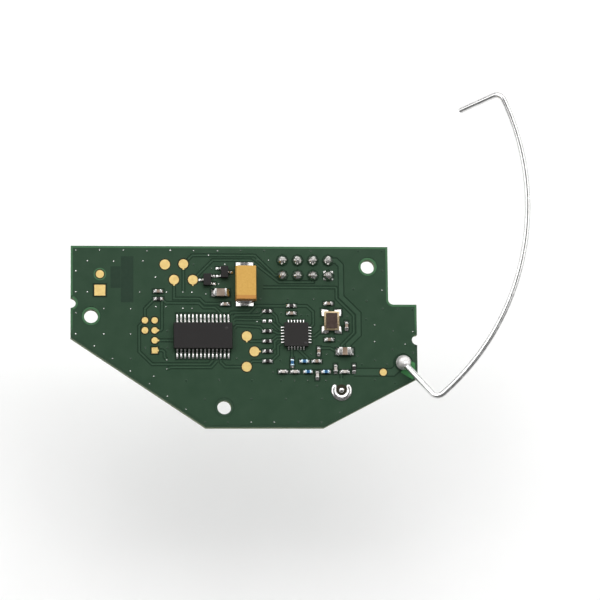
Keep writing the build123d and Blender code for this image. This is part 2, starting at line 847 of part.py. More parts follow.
crystal_ring_base = seat + crystal_case_height
with BuildPart() as crystal_seal_ring:
    with BuildSketch(Plane.XY.offset(crystal_ring_base)):
        with Locations(crystal):
            Rectangle(crystal_width, crystal_length)
            Rectangle(
                crystal_width - 2 * crystal_ring_width, crystal_length - 2 * crystal_ring_width,
                mode=Mode.SUBTRACT,
            )
            with GridLocations(crystal_width, crystal_length, 2, 2):
                Circle(crystal_notch_radius, mode=Mode.SUBTRACT)
    extrude(amount=crystal_ring_height)
crystal_seal_ring.part.label = "crystal_seal_ring"
export_step(crystal_seal_ring.part, "parts/crystal_seal_ring.step")

with BuildPart() as crystal_lid:
    with BuildSketch(Plane.XY.offset(crystal_ring_base)):
        with Locations(crystal):
            Rectangle(
                crystal_width - 2 * crystal_ring_width, crystal_length - 2 * crystal_ring_width
            )
    extrude(amount=crystal_lid_height)
crystal_lid.part.label = "crystal_lid"
export_step(crystal_lid.part, "parts/crystal_lid.step")

with BuildPart() as crystal_solder:
    with BuildSketch(Plane.XY.offset(board_top)):
        with Locations(*crystal_corners()):
            Rectangle(crystal_land_width, crystal_land_width)
    extrude(amount=copper_thickness)
    extrude(crystal_solder.faces().filter_by(Plane.XY).group_by(Axis.Z)[-1],
            amount=crystal_solder_height, taper=crystal_solder_slope)
    with Locations(on_board(crystal, height=copper_thickness)):
        Box(
            crystal_width, crystal_length, crystal_case_height,
            align=(Align.CENTER, Align.CENTER, Align.MIN), mode=Mode.SUBTRACT,
        )
crystal_solder.part.label = "crystal_solder"
export_step(crystal_solder.part, "parts/crystal_solder.step")

# Transistors
transistor_package = moulded_body(
    transistor_body_width, transistor_body_length, 0, transistor_body_height,
    transistor_lead_thickness, transistor_draft,
)
transistor_lead = gull_wing_lead(
    transistor_lead_width, transistor_lead_thickness, transistor_lead_reach,
    transistor_foot_length, transistor_shoulder, transistor_body_height / 2,
)
transistor_root = Location((-transistor_lead_reach, 0, copper_thickness))

with BuildPart() as left_transistor_body:
    with Locations(on_board(*left_transistor, copper_thickness)):
        add(transistor_package)
left_transistor_body.part.label = "left_transistor_body"
export_step(left_transistor_body.part, "parts/left_transistor_body.step")

with BuildPart() as left_transistor_leads:
    add(copies(transistor_lead, [toe * transistor_root for toe in transistor_toes(left_transistor)]))
left_transistor_leads.part.label = "left_transistor_leads"
export_step(left_transistor_leads.part, "parts/left_transistor_leads.step")

with BuildPart() as right_transistor_body:
    with Locations(on_board(*right_transistor, copper_thickness)):
        add(transistor_package)
right_transistor_body.part.label = "right_transistor_body"
export_step(right_transistor_body.part, "parts/right_transistor_body.step")

with BuildPart() as right_transistor_leads:
    add(copies(transistor_lead, [toe * transistor_root for toe in transistor_toes(right_transistor)]))
right_transistor_leads.part.label = "right_transistor_leads"
export_step(right_transistor_leads.part, "parts/right_transistor_leads.step")

with BuildPart() as transistor_solder:
    add(solder_joints("transistors"))
transistor_solder.part.label = "transistor_solder"
export_step(transistor_solder.part, "parts/transistor_solder.step")


# Chip parts: a ceramic block between two metal ends that stand a little proud of it
def chip_bodies(chips, length, width, height, end):
    """The ceramic blocks of equal chip parts."""
    with BuildPart() as block:
        with Locations((0, 0, copper_thickness + end_plating)):
            Box(
                length - 2 * end, width - 2 * end_plating, height - 2 * end_plating,
                align=(Align.CENTER, Align.CENTER, Align.MIN),
            )
    return copies(block.part, [on_board(point, angle) for point, angle in chips])


def chip_end_blocks(chips, length, width, height, end):
    """The metal ends of equal chip parts."""
    with BuildPart() as block:
        with Locations((-end / 2, 0, copper_thickness)):
            Box(end, width, height, align=(Align.CENTER, Align.CENTER, Align.MIN))
    return copies(block.part, chip_ends(chips, length))


large_chip = (large_chip_length, large_chip_width, large_chip_height, large_chip_end)
small_capacitor = (small_chip_length, small_chip_width, small_capacitor_height, small_chip_end)
small_resistor = (small_chip_length, small_chip_width, small_resistor_height, small_chip_end)

with BuildPart() as supply_capacitor_body:
    add(chip_bodies([supply_capacitor], *large_chip))
supply_capacitor_body.part.label = "supply_capacitor_body"
export_step(supply_capacitor_body.part, "parts/supply_capacitor_body.step")

with BuildPart() as supply_capacitor_ends:
    add(chip_end_blocks([supply_capacitor], *large_chip))
supply_capacitor_ends.part.label = "supply_capacitor_ends"
export_step(supply_capacitor_ends.part, "parts/supply_capacitor_ends.step")

with BuildPart() as reservoir_capacitor_body:
    add(chip_bodies([reservoir_capacitor], *large_chip))
reservoir_capacitor_body.part.label = "reservoir_capacitor_body"
export_step(reservoir_capacitor_body.part, "parts/reservoir_capacitor_body.step")

with BuildPart() as reservoir_capacitor_ends:
    add(chip_end_blocks([reservoir_capacitor], *large_chip))
reservoir_capacitor_ends.part.label = "reservoir_capacitor_ends"
export_step(reservoir_capacitor_ends.part, "parts/reservoir_capacitor_ends.step")

with BuildPart() as large_capacitor_solder:
    add(solder_joints("large_chips"))
large_capacitor_solder.part.label = "large_capacitor_solder"
export_step(large_capacitor_solder.part, "parts/large_capacitor_solder.step")

with BuildPart() as line_resistor_bodies:
    add(chip_bodies(line_resistors, *small_resistor))
line_resistor_bodies.part.label = "line_resistor_bodies"
export_step(line_resistor_bodies.part, "parts/line_resistor_bodies.step")

with BuildPart() as line_resistor_ends:
    add(chip_end_blocks(line_resistors, *small_resistor))
line_resistor_ends.part.label = "line_resistor_ends"
export_step(line_resistor_ends.part, "parts/line_resistor_ends.step")

with BuildPart() as other_resistor_bodies:
    add(chip_bodies(other_resistors, *small_resistor))
other_resistor_bodies.part.label = "other_resistor_bodies"
export_step(other_resistor_bodies.part, "parts/other_resistor_bodies.step")

with BuildPart() as other_resistor_ends:
    add(chip_end_blocks(other_resistors, *small_resistor))
other_resistor_ends.part.label = "other_resistor_ends"
export_step(other_resistor_ends.part, "parts/other_resistor_ends.step")

with BuildPart() as small_capacitor_bodies:
    add(chip_bodies(small_capacitors, *small_capacitor))
small_capacitor_bodies.part.label = "small_capacitor_bodies"
export_step(small_capacitor_bodies.part, "parts/small_capacitor_bodies.step")

with BuildPart() as small_capacitor_ends:
    add(chip_end_blocks(small_capacitors, *small_capacitor))
small_capacitor_ends.part.label = "small_capacitor_ends"
export_step(small_capacitor_ends.part, "parts/small_capacitor_ends.step")

with BuildPart() as matching_inductor_bodies:
    add(chip_bodies(matching_inductors, *small_capacitor))
matching_inductor_bodies.part.label = "matching_inductor_bodies"
export_step(matching_inductor_bodies.part, "parts/matching_inductor_bodies.step")

with BuildPart() as matching_inductor_ends:
    add(chip_end_blocks(matching_inductors, *small_capacitor))
matching_inductor_ends.part.label = "matching_inductor_ends"
export_step(matching_inductor_ends.part, "parts/matching_inductor_ends.step")

with BuildPart() as matching_capacitor_bodies:
    add(chip_bodies(matching_capacitors, *small_capacitor))
matching_capacitor_bodies.part.label = "matching_capacitor_bodies"
export_step(matching_capacitor_bodies.part, "parts/matching_capacitor_bodies.step")

with BuildPart() as matching_capacitor_ends:
    add(chip_end_blocks(matching_capacitors, *small_capacitor))
matching_capacitor_ends.part.label = "matching_capacitor_ends"
export_step(matching_capacitor_ends.part, "parts/matching_capacitor_ends.step")

with BuildPart() as small_chip_solder:
    add(solder_joints("small_chips"))
    with Locations(*[(p.position.X, p.position.Y, board_top) for p in bare_lands]):
        Box(
            small_land_width, small_land_width, 2 * copper_thickness,
            align=(Align.CENTER, Align.CENTER, Align.MIN),
        )
small_chip_solder.part.label = "small_chip_solder"
export_step(small_chip_solder.part, "parts/small_chip_solder.step")

# Pin header: square pins pressed through a moulded body under the board
with BuildPart() as header_pins:
    pin_bottom = -header_body_height - pin_reach
    pin_length = board_top + pin_tail_above_board - pin_bottom
    with Locations(*[(x, y, pin_bottom) for x, y in header_places()]):
        Box(pin_width, pin_width, pin_length, align=(Align.CENTER, Align.CENTER, Align.MIN))
    tips = header_pins.faces().filter_by(Axis.Z).edges()
    chamfer(tips, length=pin_tip_chamfer)
header_pins.part.label = "header_pins"
export_step(header_pins.part, "parts/header_pins.step")

with BuildSketch() as header_cell:
    Rectangle(header_pitch, header_rows * header_pitch)
    chamfer(header_cell.vertices(), length=header_body_chamfer)

with BuildPart() as header_insulator:
    with BuildSketch(Plane.XY.offset(-header_body_height)):
        with Locations(*[near(header_centre, x, 0) for x in row(header_columns, header_pitch)]):
            add(header_cell.sketch)
    extrude(amount=header_body_height)
    add(header_pins.part, mode=Mode.SUBTRACT)
header_insulator.part.label = "header_insulator"
export_step(header_insulator.part, "parts/header_insulator.step")

with BuildPart() as header_solder:
    with BuildSketch(Plane.XY.offset(board_top)):
        with Locations(*header_places()):
            RegularPolygon(header_land_diameter / 2, small_round_sides)
    extrude(amount=header_joint_height, taper=header_joint_slope)
    add(header_pins.part, mode=Mode.SUBTRACT)
header_solder.part.label = "header_solder"
export_step(header_solder.part, "parts/header_solder.step")


# Domes of solder
def solder_dome(radius, height):
    """A cap of solder, part of a sphere, with a flat base at Z = 0."""
    sphere_radius = (radius**2 + height**2) / (2 * height)
    middle = height - sphere_radius
    halfway = (atan2(-middle, radius) + radians(90)) / 2
    shoulder = (sphere_radius * cos(halfway), middle + sphere_radius * sin(halfway))
    with BuildPart() as dome:
        with BuildSketch(Plane.XZ):
            with BuildLine():
                ThreePointArc((radius, 0), shoulder, (0, height))
                Polyline((0, height), (0, 0), (radius, 0))
            make_face()
        revolve(axis=Axis.Z)
    return dome.part


with BuildPart() as coax_shield_solder:
    with BuildSketch(Plane.XY.offset(board_top)):
        with Locations(coax):
            with BuildLine(mode=Mode.PRIVATE) as bow:
                CenterArc(
                    (0, 0), shield_radius, 90 + shield_opening_angle / 2, 360 - shield_opening_angle
                )
            SlotArc(bow.line.edge(), shield_width)
    extrude(amount=shield_height, taper=shield_slope)
coax_shield_solder.part.label = "coax_shield_solder"
export_step(coax_shield_solder.part, "parts/coax_shield_solder.step")

with BuildPart() as coax_core_solder:
    with BuildSketch(Plane.XY.offset(board_top)):
        with Locations(coax):
            RegularPolygon(core_joint_radius, small_round_sides)
    extrude(amount=core_joint_height, taper=core_joint_slope)
coax_core_solder.part.label = "coax_core_solder"
export_step(coax_core_solder.part, "parts/coax_core_solder.step")


# Antenna wire: up out of the board, sloping out past its corner, round a shallow bow and
# back in a short tip. Each bend is an arc tangent to both of its neighbours, and the round
# section is drawn with flats.
def plan_step(start, length, angle, rise):
    """The point that lies a plan distance, a direction and a rise away from another."""
    turn = radians(angle)
    return start + Vector(length * cos(turn), length * sin(turn), rise)


wire_base = Vector(antenna[0], antenna[1], antenna_end_in_board)
wire_knee = Vector(antenna[0], antenna[1], board_top + antenna_leg_height)
first_bend = plan_step(wire_knee, antenna_foot_length, antenna_foot_angle, antenna_foot_rise)
second_bend = plan_step(first_bend, antenna_chord_length, antenna_chord_angle, antenna_chord_rise)
wire_tip = plan_step(second_bend, antenna_tip_length, antenna_tip_angle, -antenna_tip_drop)

chord = second_bend - first_bend
half_chord = chord.length / 2
outward = Vector(chord.Y, -chord.X, 0).normalized()
bow_angle = 2 * Vector(half_chord, antenna_bow, 0).get_angle(Vector(1, 0, 0))
along = chord.normalized()
leave_bend = along * cos(radians(bow_angle)) + outward * sin(radians(bow_angle))
enter_bend = along * cos(radians(bow_angle)) - outward * sin(radians(bow_angle))
foot_direction = (first_bend - wire_knee).normalized()
tip_direction = (wire_tip - second_bend).normalized()
up = Vector(0, 0, 1)

knee_start = wire_knee - up * antenna_leg_setback
knee_end = wire_knee + foot_direction * antenna_leg_setback
bow_start = first_bend + leave_bend * antenna_bend_setback
bow_end = second_bend - enter_bend * antenna_bend_setback
bow_chord = bow_end - bow_start
bow_rise = bow_chord.length / 2 * tan(radians(bow_angle / 2))
bow_middle = (bow_start + bow_end) * 0.5 + outward * bow_rise
first_arc_start = first_bend - foot_direction * antenna_bend_setback
second_arc_end = second_bend + tip_direction * antenna_bend_setback

with BuildPart() as antenna_wire:
    with BuildLine() as wire_path:
        Line(wire_base, knee_start)
        TangentArc(knee_start, knee_end, tangent=up)
        Line(knee_end, first_arc_start)
        TangentArc(first_arc_start, bow_start, tangent=foot_direction)
        ThreePointArc(bow_start, bow_middle, bow_end)
        TangentArc(bow_end, second_arc_end, tangent=enter_bend)
        Line(second_arc_end, wire_tip)
    with BuildSketch(Plane(wire_base, z_dir=up)):
        RegularPolygon(wire_diameter / 2, wire_sides)
    sweep()
antenna_wire.part.label = "antenna_wire"
export_step(antenna_wire.part, "parts/antenna_wire.step")
print("antenna wire length", round(wire_path.wire().length, 2))

antenna_dome = solder_dome(antenna_dome_radius, antenna_dome_height)
with BuildPart() as antenna_solder:
    with Locations(on_board(antenna)):
        Cylinder(
            antenna_land_diameter / 2, copper_thickness,
            align=(Align.CENTER, Align.CENTER, Align.MIN),
        )
    with Locations(on_board(antenna, height=copper_thickness)):
        add(antenna_dome)
    add(antenna_wire.part, mode=Mode.SUBTRACT)
antenna_solder.part.label = "antenna_solder"
export_step(antenna_solder.part, "parts/antenna_solder.step")
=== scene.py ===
# %% [markdown]
# # A radio module, dressed for its picture
#
# The module is a small green circuit board with chips, a crystal, gold test pads and a long
# bent wire for an antenna. The solid model already gives every piece its true place. This
# lesson loads it and then gives each piece the rounding, the solder and the finish that the
# eye expects of a real one.

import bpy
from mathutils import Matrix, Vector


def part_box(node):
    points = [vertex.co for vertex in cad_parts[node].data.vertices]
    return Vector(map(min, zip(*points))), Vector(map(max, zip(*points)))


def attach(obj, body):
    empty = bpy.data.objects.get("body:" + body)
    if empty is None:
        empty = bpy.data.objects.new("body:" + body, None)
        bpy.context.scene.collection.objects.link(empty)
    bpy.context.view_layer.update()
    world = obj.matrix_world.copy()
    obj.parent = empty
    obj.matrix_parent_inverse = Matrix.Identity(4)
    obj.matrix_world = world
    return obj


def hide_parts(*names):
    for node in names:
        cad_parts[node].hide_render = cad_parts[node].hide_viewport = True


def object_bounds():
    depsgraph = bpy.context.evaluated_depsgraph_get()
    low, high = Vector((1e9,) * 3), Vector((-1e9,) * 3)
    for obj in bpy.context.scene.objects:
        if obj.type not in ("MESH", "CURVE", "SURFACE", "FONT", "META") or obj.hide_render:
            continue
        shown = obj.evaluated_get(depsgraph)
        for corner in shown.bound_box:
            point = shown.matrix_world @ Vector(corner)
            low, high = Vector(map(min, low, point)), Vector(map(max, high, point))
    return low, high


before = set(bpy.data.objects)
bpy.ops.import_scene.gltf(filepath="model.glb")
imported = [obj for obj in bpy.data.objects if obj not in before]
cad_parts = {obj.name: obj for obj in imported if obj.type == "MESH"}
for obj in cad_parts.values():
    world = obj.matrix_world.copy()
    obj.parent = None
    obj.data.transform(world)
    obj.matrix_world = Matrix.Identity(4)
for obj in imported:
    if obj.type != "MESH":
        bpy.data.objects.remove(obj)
print("solids to dress:", len(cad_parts), "nodes")

# %% Tools for the lesson
import math
import random

import bmesh
import bpy
from bmesh.types import BMEdge, BMFace, BMVert
from mathutils import Matrix, Vector

MM = 0.001
UP = Vector((0, 0, 1))
chance = random.Random(7)
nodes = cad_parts
cad_low, cad_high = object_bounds()
print("solid model, mm:", [round((b - a) / MM, 2) for a, b in zip(cad_low, cad_high)])

# %% [markdown]
# ## Measuring the solid model
#
# The chips, legs and solder joints are already in the solid model. Their places could be typed
# again, but a place that is typed twice is soon wrong once. So the helpers below read each
# separate solid out of a node. The code works in millimetres, because the smallest pieces are
# a few tenths of a millimetre, and every finished piece is scaled to metres at its end.

# %% Read boxes and separate solids
def node_box(name):
    """Lowest and highest corner of a node, in millimetres."""
    low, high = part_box(name)
    return low / MM, high / MM


def solids_of(name):
    """The points of each separate solid in a node, in millimetres, in the mesh's order."""
    copy = bmesh.new()
    copy.from_mesh(nodes[name].data)
    bmesh.ops.remove_doubles(copy, verts=copy.verts, dist=0.001 * MM)
    seen = set()
    solids = []
    for start in copy.verts:
        if start in seen:
            continue
        seen.add(start)
        front = [start]
        points = []
        while front:
            vert = front.pop()
            points.append(vert.co / MM)
            for edge in vert.link_edges:
                other = edge.other_vert(vert)
                if other not in seen:
                    seen.add(other)
                    front.append(other)
        solids.append(points)
    copy.free()
    return solids

# %% Small helpers for points and parts
def corners(points):
    """Lowest and highest corner of a group of points."""
    low = Vector([min(p[i] for p in points) for i in range(3)])
    high = Vector([max(p[i] for p in points) for i in range(3)])
    return low, high


def only(kind, parts):
    """The parts of one kind, out of all that an operator made."""
    return [part for part in parts if isinstance(part, kind)]


def edges_of(verts):
    """The edges that meet at some points, each once and always in the same order."""
    return list(dict.fromkeys(edge for vert in verts for edge in vert.link_edges))

# %% How high the board and its copper lie
board_top = node_box("circuit_board")[1].z
copper_top = node_box("ground_copper")[1].z
print("board top", round(board_top, 3), "copper top", round(copper_top, 3))

# %% [markdown]
# ## Finishing a piece
#
# Each piece is built as a mesh in millimetres, scaled, shaded smooth with its sharp edges
# kept, and set to ride on the module's one body. A piece that stands for a solid hides that
# solid. The object could be moved to its place afterwards. Here the place is in the mesh and
# the object stays at the origin, so that all finishes read the same coordinates.

# %% Turn a mesh into a piece
def finish_piece(name, shape, materials, stands_for=(), sharp=40):
    """Make an object of a mesh in millimetres and hang it on the module."""
    bmesh.ops.scale(shape, vec=(MM, MM, MM), verts=shape.verts)
    mesh = bpy.data.meshes.new(name)
    shape.to_mesh(mesh)
    shape.free()
    for material in materials:
        mesh.materials.append(material)
    mesh.shade_smooth()
    mesh.set_sharp_from_angle(angle=math.radians(sharp))
    piece = bpy.data.objects.new(name, mesh)
    bpy.context.scene.collection.objects.link(piece)
    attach(piece, "root")
    if stands_for:
        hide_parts(*stands_for)
    print(name, len(mesh.polygons), "faces")

# %% [markdown]
# ## Materials
#
# No finish on a circuit board is one flat colour. Solder mask has a faint orange-peel skin,
# plating is slightly uneven, and moulded cases are peppered with filler. Pictures could be
# wrapped round the pieces, but noise needs no unwrapping and stays sharp at any distance. One
# recipe covers all finishes: two colours mixed by noise, a roughness that wanders between two
# values, and a fine bump. The sizes of the grain are in millimetres, like everything else.

# %% The shared recipe
SPREAD = (0.3, 0.7)


def speckled(name, dark, light, grain, rough, metal=0.0, bump=0.0, bump_grain=None, gloss=0.5):
    """A finish of two mixed colours with wandering roughness and a fine bump."""
    material = bpy.data.materials.new(name)
    material.use_nodes = True
    tree = material.node_tree
    shader = tree.nodes["Principled BSDF"]
    shader.inputs["Metallic"].default_value = metal
    shader.inputs["Specular IOR Level"].default_value = gloss
    place = tree.nodes.new("ShaderNodeTexCoord")
    noise = tree.nodes.new("ShaderNodeTexNoise")
    noise.inputs["Scale"].default_value = 1 / (grain * MM)
    noise.inputs["Detail"].default_value = 4
    tree.links.new(place.outputs["Object"], noise.inputs["Vector"])
    ramp = tree.nodes.new("ShaderNodeValToRGB")
    for stop, position, colour in zip(ramp.color_ramp.elements, SPREAD, (dark, light)):
        stop.position = position
        stop.color = (*colour, 1)
    tree.links.new(noise.outputs["Fac"], ramp.inputs["Fac"])
    tree.links.new(ramp.outputs["Color"], shader.inputs["Base Color"])
    wander = tree.nodes.new("ShaderNodeMapRange")
    for socket, value in zip(("From Min", "From Max", "To Min", "To Max"), (*SPREAD, *rough)):
        wander.inputs[socket].default_value = value
    tree.links.new(noise.outputs["Fac"], wander.inputs["Value"])
    tree.links.new(wander.outputs["Result"], shader.inputs["Roughness"])
    if bump:
        skin = tree.nodes.new("ShaderNodeTexNoise")
        skin.inputs["Scale"].default_value = 1 / ((bump_grain or grain) * MM)
        skin.inputs["Detail"].default_value = 2
        tree.links.new(place.outputs["Object"], skin.inputs["Vector"])
        relief = tree.nodes.new("ShaderNodeBump")
        relief.inputs["Strength"].default_value = 0.6
        relief.inputs["Distance"].default_value = bump * MM
        tree.links.new(skin.outputs["Fac"], relief.inputs["Height"])
        tree.links.new(relief.outputs["Normal"], shader.inputs["Normal"])
    print("finish", name)
    return material

# %% A second colour from some height or place on
def paint_zone(material, axis, start, end, colour):
    """Let a finish change to another colour between two places, in mm, along an axis."""
    tree = material.node_tree
    shader = tree.nodes["Principled BSDF"]
    first = shader.inputs["Base Color"].links[0].from_socket
    place = next(node for node in tree.nodes if node.type == "TEX_COORD")
    split = tree.nodes.new("ShaderNodeSeparateXYZ")
    tree.links.new(place.outputs["Object"], split.inputs["Vector"])
    step = tree.nodes.new("ShaderNodeMapRange")
    step.inputs["From Min"].default_value = start * MM
    step.inputs["From Max"].default_value = end * MM
    tree.links.new(split.outputs[axis], step.inputs["Value"])
    mix = tree.nodes.new("ShaderNodeMix")
    mix.data_type = "RGBA"
    mix.inputs["B"].default_value = (*colour, 1)
    tree.links.new(step.outputs["Result"], mix.inputs["Factor"])
    tree.links.new(first, mix.inputs["A"])
    tree.links.new(mix.outputs["Result"], shader.inputs["Base Color"])
    print("second colour on", material.name)

# %% [markdown]
# ## The green mask and the laminate
#
# The mask is one green lacquer, and what lies below it sets its tone: even over copper and
# darker in the gaps between copper, where painted shade also stands in for the shade along the
# track edges. Where light gets into the bare laminate it is bright, and that glow is painted light.
# One clear coat over modelled layers could show that too, but it would need light inside a film a
# few hundredths of a millimetre thick. A finish for each case is simpler and looks the same.

# %% Board and copper finishes
masked_copper = speckled(
    "mask over copper", (0.0140, 0.0430, 0.0200), (0.0170, 0.0480, 0.0230), 2.0, (0.40, 0.48),
    bump=0.002, bump_grain=0.4, gloss=0.25,
)
masked_track = speckled(
    "mask over tracks", (0.0175, 0.051, 0.0245), (0.0205, 0.056, 0.0275), 1.5, (0.38, 0.45),
    bump=0.002, bump_grain=0.4, gloss=0.3,
)
# Darker mask for the gaps between copper. Part of its darkness is painted shade along the track
# edges, which the thin copper steps don't cast. On the via mouths it is painted shade of the holes.
gap_mask_and_shade = speckled(
    "mask in the gaps, painted shade", (0.008, 0.027, 0.013), (0.010, 0.031, 0.015), 1.0, (0.5, 0.6),
    gloss=0.15,
)
# The band's bright green is painted light: the glow of light inside the bare laminate.
laminate_band_glow_and_shade = speckled(
    "mask over bare laminate, painted glow and shade", (0.036, 0.112, 0.046), (0.044, 0.130, 0.055), 1.0, (0.42, 0.5),
    bump=0.002, bump_grain=0.4, gloss=0.3,
)
# Towards the near edge the band is painted as dark as the masked copper: painted shade, where no
# light reaches the laminate.
paint_zone(laminate_band_glow_and_shade, "Y", -1.0, -3.5, (0.0155, 0.0455, 0.0215))
routed_edge = speckled(
    "routed laminate edge", (0.11, 0.15, 0.075), (0.22, 0.26, 0.14), 0.12, (0.7, 0.9),
    bump=0.03, bump_grain=0.08,
)
bare_ring = speckled(
    "mask opening", (0.014, 0.014, 0.006), (0.026, 0.022, 0.010), 0.15, (0.55, 0.7), gloss=0.2,
)
window_mask = speckled(
    "blank window", (0.010, 0.030, 0.016), (0.013, 0.035, 0.019), 0.6, (0.45, 0.55),
    gloss=0.2,
)
clear_window = speckled(
    "mask with no copper below", (0.030, 0.150, 0.045), (0.045, 0.200, 0.062), 0.9, (0.4, 0.5),
    gloss=0.3,
)

# %% [markdown]
# ## Metals
#
# Solder sets as bright as a mirror, with soft frost where its grain comes through. Plating
# follows the rolled metal below and is duller. One metal for everything would look like a
# toy, so each has its own colour and roughness. All are the same recipe with a high metal
# value, and the noise in their colour stands for the frost and for a little tarnish.

# %% Gold and nickel finishes
gold_plate = speckled(
    "gold plating", (0.71, 0.505, 0.186), (0.77, 0.585, 0.238), 0.5, (0.40, 0.52), metal=0.75,
    bump=0.002, bump_grain=0.12,
)
pin_plate = speckled(
    "gold pin, tinned at its end", (0.80, 0.56, 0.22), (0.87, 0.655, 0.29), 0.3, (0.3, 0.42),
    metal=0.9,
)
paint_zone(pin_plate, "Z", board_top - 0.1, board_top, (0.62, 0.60, 0.58))
lid_nickel = speckled(
    "nickel lid", (0.058, 0.039, 0.032), (0.080, 0.055, 0.046), 0.5, (0.35, 0.45), metal=0.8,
    bump=0.002, bump_grain=0.1,
)
rim_gold = speckled(
    "gold seal ring", (0.39, 0.295, 0.165), (0.50, 0.40, 0.26), 0.3, (0.25, 0.38), metal=0.95,
)

# %% Solder and tin finishes
solder = speckled(
    "reflowed solder", (0.40, 0.39, 0.38), (0.90, 0.895, 0.88), 0.25, (0.12, 0.28), metal=1.0,
    bump=0.016, bump_grain=0.18,
)
joint_solder = speckled(
    "solder of the header", (0.40, 0.39, 0.37), (0.88, 0.87, 0.85), 0.3, (0.06, 0.14), metal=1.0,
    bump=0.03, bump_grain=0.35,
)
dull_solder = speckled(
    "dull solder", (0.68, 0.65, 0.64), (0.93, 0.91, 0.90), 0.45, (0.30, 0.55), metal=0.6,
    bump=0.07, bump_grain=0.45,
)
tinned_metal = speckled(
    "tin plating", (0.36, 0.35, 0.34), (0.72, 0.71, 0.69), 0.15, (0.20, 0.36), metal=1.0,
    bump=0.004, bump_grain=0.06,
)
wire_tin = speckled(
    "tinned wire", (0.68, 0.675, 0.675), (0.82, 0.82, 0.815), 0.8, (0.18, 0.28), metal=1.0,
    bump=0.003, bump_grain=0.2,
)

# %% [markdown]
# ## Mouldings and ceramics
#
# Chip cases are epoxy full of fine glass, so they are nearly black and a little rough. The
# chip capacitors are bare ceramic in shades of tan, which differ with the mixture that each
# kind is fired from. One brown could serve for all, but the shades are how a fitter tells
# them apart. Resistors are glazed, and the inductors wear a blue coating.

# %% Moulding finishes
black_moulding = speckled(
    "black moulding", (0.0100, 0.0086, 0.0086), (0.0146, 0.0128, 0.0128), 0.12, (0.5, 0.62),
    bump=0.004, bump_grain=0.05, gloss=0.25,
)
radio_moulding = speckled(
    "radio chip moulding", (0.0122, 0.0108, 0.0102), (0.0170, 0.0154, 0.0146), 0.12, (0.48, 0.6),
    bump=0.004, bump_grain=0.05, gloss=0.25,
)
header_plastic = speckled(
    "header moulding", (0.012, 0.012, 0.012), (0.024, 0.024, 0.024), 0.3, (0.45, 0.6),
    bump=0.006, bump_grain=0.08,
)

# %% Ceramic and coating finishes
black_glaze = speckled(
    "resistor glaze", (0.012, 0.010, 0.010), (0.022, 0.018, 0.018), 0.2, (0.25, 0.4),
)
tan_ceramic = speckled(
    "tan ceramic", (0.15, 0.10, 0.072), (0.29, 0.225, 0.175), 1.6, (0.4, 0.55),
    bump=0.004, bump_grain=0.06,
)
brown_ceramic = speckled(
    "brown ceramic", (0.17, 0.115, 0.075), (0.30, 0.215, 0.155), 1.2, (0.4, 0.55),
    bump=0.004, bump_grain=0.06,
)
pale_ceramic = speckled(
    "pale ceramic", (0.40, 0.36, 0.33), (0.62, 0.58, 0.54), 1.2, (0.4, 0.55),
    bump=0.004, bump_grain=0.06,
)
blue_coating = speckled(
    "blue inductor coating", (0.010, 0.075, 0.19), (0.022, 0.12, 0.27), 0.3, (0.25, 0.4),
)
blue_dip = speckled(
    "tin with a blue cast", (0.42, 0.62, 0.74), (0.62, 0.78, 0.86), 0.2, (0.3, 0.45), metal=0.8,
)
dark_ceramic = speckled(
    "crystal ceramic", (0.02, 0.018, 0.018), (0.035, 0.03, 0.03), 0.2, (0.6, 0.8),
)

# %% [markdown]
# ## Dress the solids that keep their shape
#
# The ground copper, the tracks, the radio chip's terminals, the crystal's tray and the header
# already look right as solids. They could be copied and rounded too, but nobody would see it,
# so they only trade their plain material for a good one.

# %% Give the kept solids their finishes
finish_of_node = {
    "ground_copper": masked_copper,
    "signal_tracks": masked_track,
    "radio_chip_terminals": tinned_metal,
    "crystal_case": dark_ceramic,
    "header_insulator": header_plastic,
    "header_pins": pin_plate,
}
for name, material in finish_of_node.items():
    for material_slot in nodes[name].material_slots:
        material_slot.material = material
print("solids that keep their shape:", len(finish_of_node))

# %% [markdown]
# ## The board
#
# A printed board is cut from a large panel by a router, so its edge shows the dull cut glass
# fibre. The green mask lies over copper nearly everywhere, and over bare laminate in a thin
# band along the edges and round the holes. Light gets into the laminate there, so that band
# looks brighter, and that glow is painted light in its colour. Along the near edges the band is
# painted as dark as the rest: painted shade, where that light doesn't get in. A material can't
# measure how far an edge is, so the band has faces of its own. Blender's inset would make them,
# but on the solid's long triangles it leaves some points outside the board. So the walls alone
# are kept, their rims are extruded inwards, and what lies inside the band is filled anew.

# %% The walls of the board
SHADED_GAPS, BRIGHT, CUT, UNDERSIDE = range(4)


def bare_walls(node):
    """A copy of a node, in millimetres, without its flat top and bottom."""
    shape = bmesh.new()
    shape.from_mesh(nodes[node].data)
    bmesh.ops.scale(shape, vec=(1 / MM, 1 / MM, 1 / MM), verts=shape.verts)
    bmesh.ops.remove_doubles(shape, verts=shape.verts, dist=0.001)
    shape.normal_update()
    flat = [face for face in shape.faces if abs(face.normal.z) > 0.5]
    bmesh.ops.delete(shape, geom=flat, context="FACES")
    for face in shape.faces:
        face.material_index = CUT
    return shape

# %% The bright band inside a rim
BAND = 0.37


def add_band(shape, rim):
    """Extrude the edges of a rim inwards as the bright band, and return its inner edges."""
    walls = {}
    for edge in rim:
        for vert in edge.verts:
            walls.setdefault(vert, []).append(edge.link_faces[0].normal.copy())
    made = bmesh.ops.extrude_edge_only(shape, edges=rim)["geom"]
    inner = only(BMVert, made)
    for vert in inner:
        one, other = next(walls[v] for edge in vert.link_edges for v in edge.verts if v in walls)
        vert.co -= (one + other) * BAND / max(0.5, 1 + one.dot(other))
    for face in only(BMFace, made):
        face.material_index = BRIGHT
    inner = set(inner)
    return [edge for edge in only(BMEdge, made) if inner.issuperset(edge.verts)]

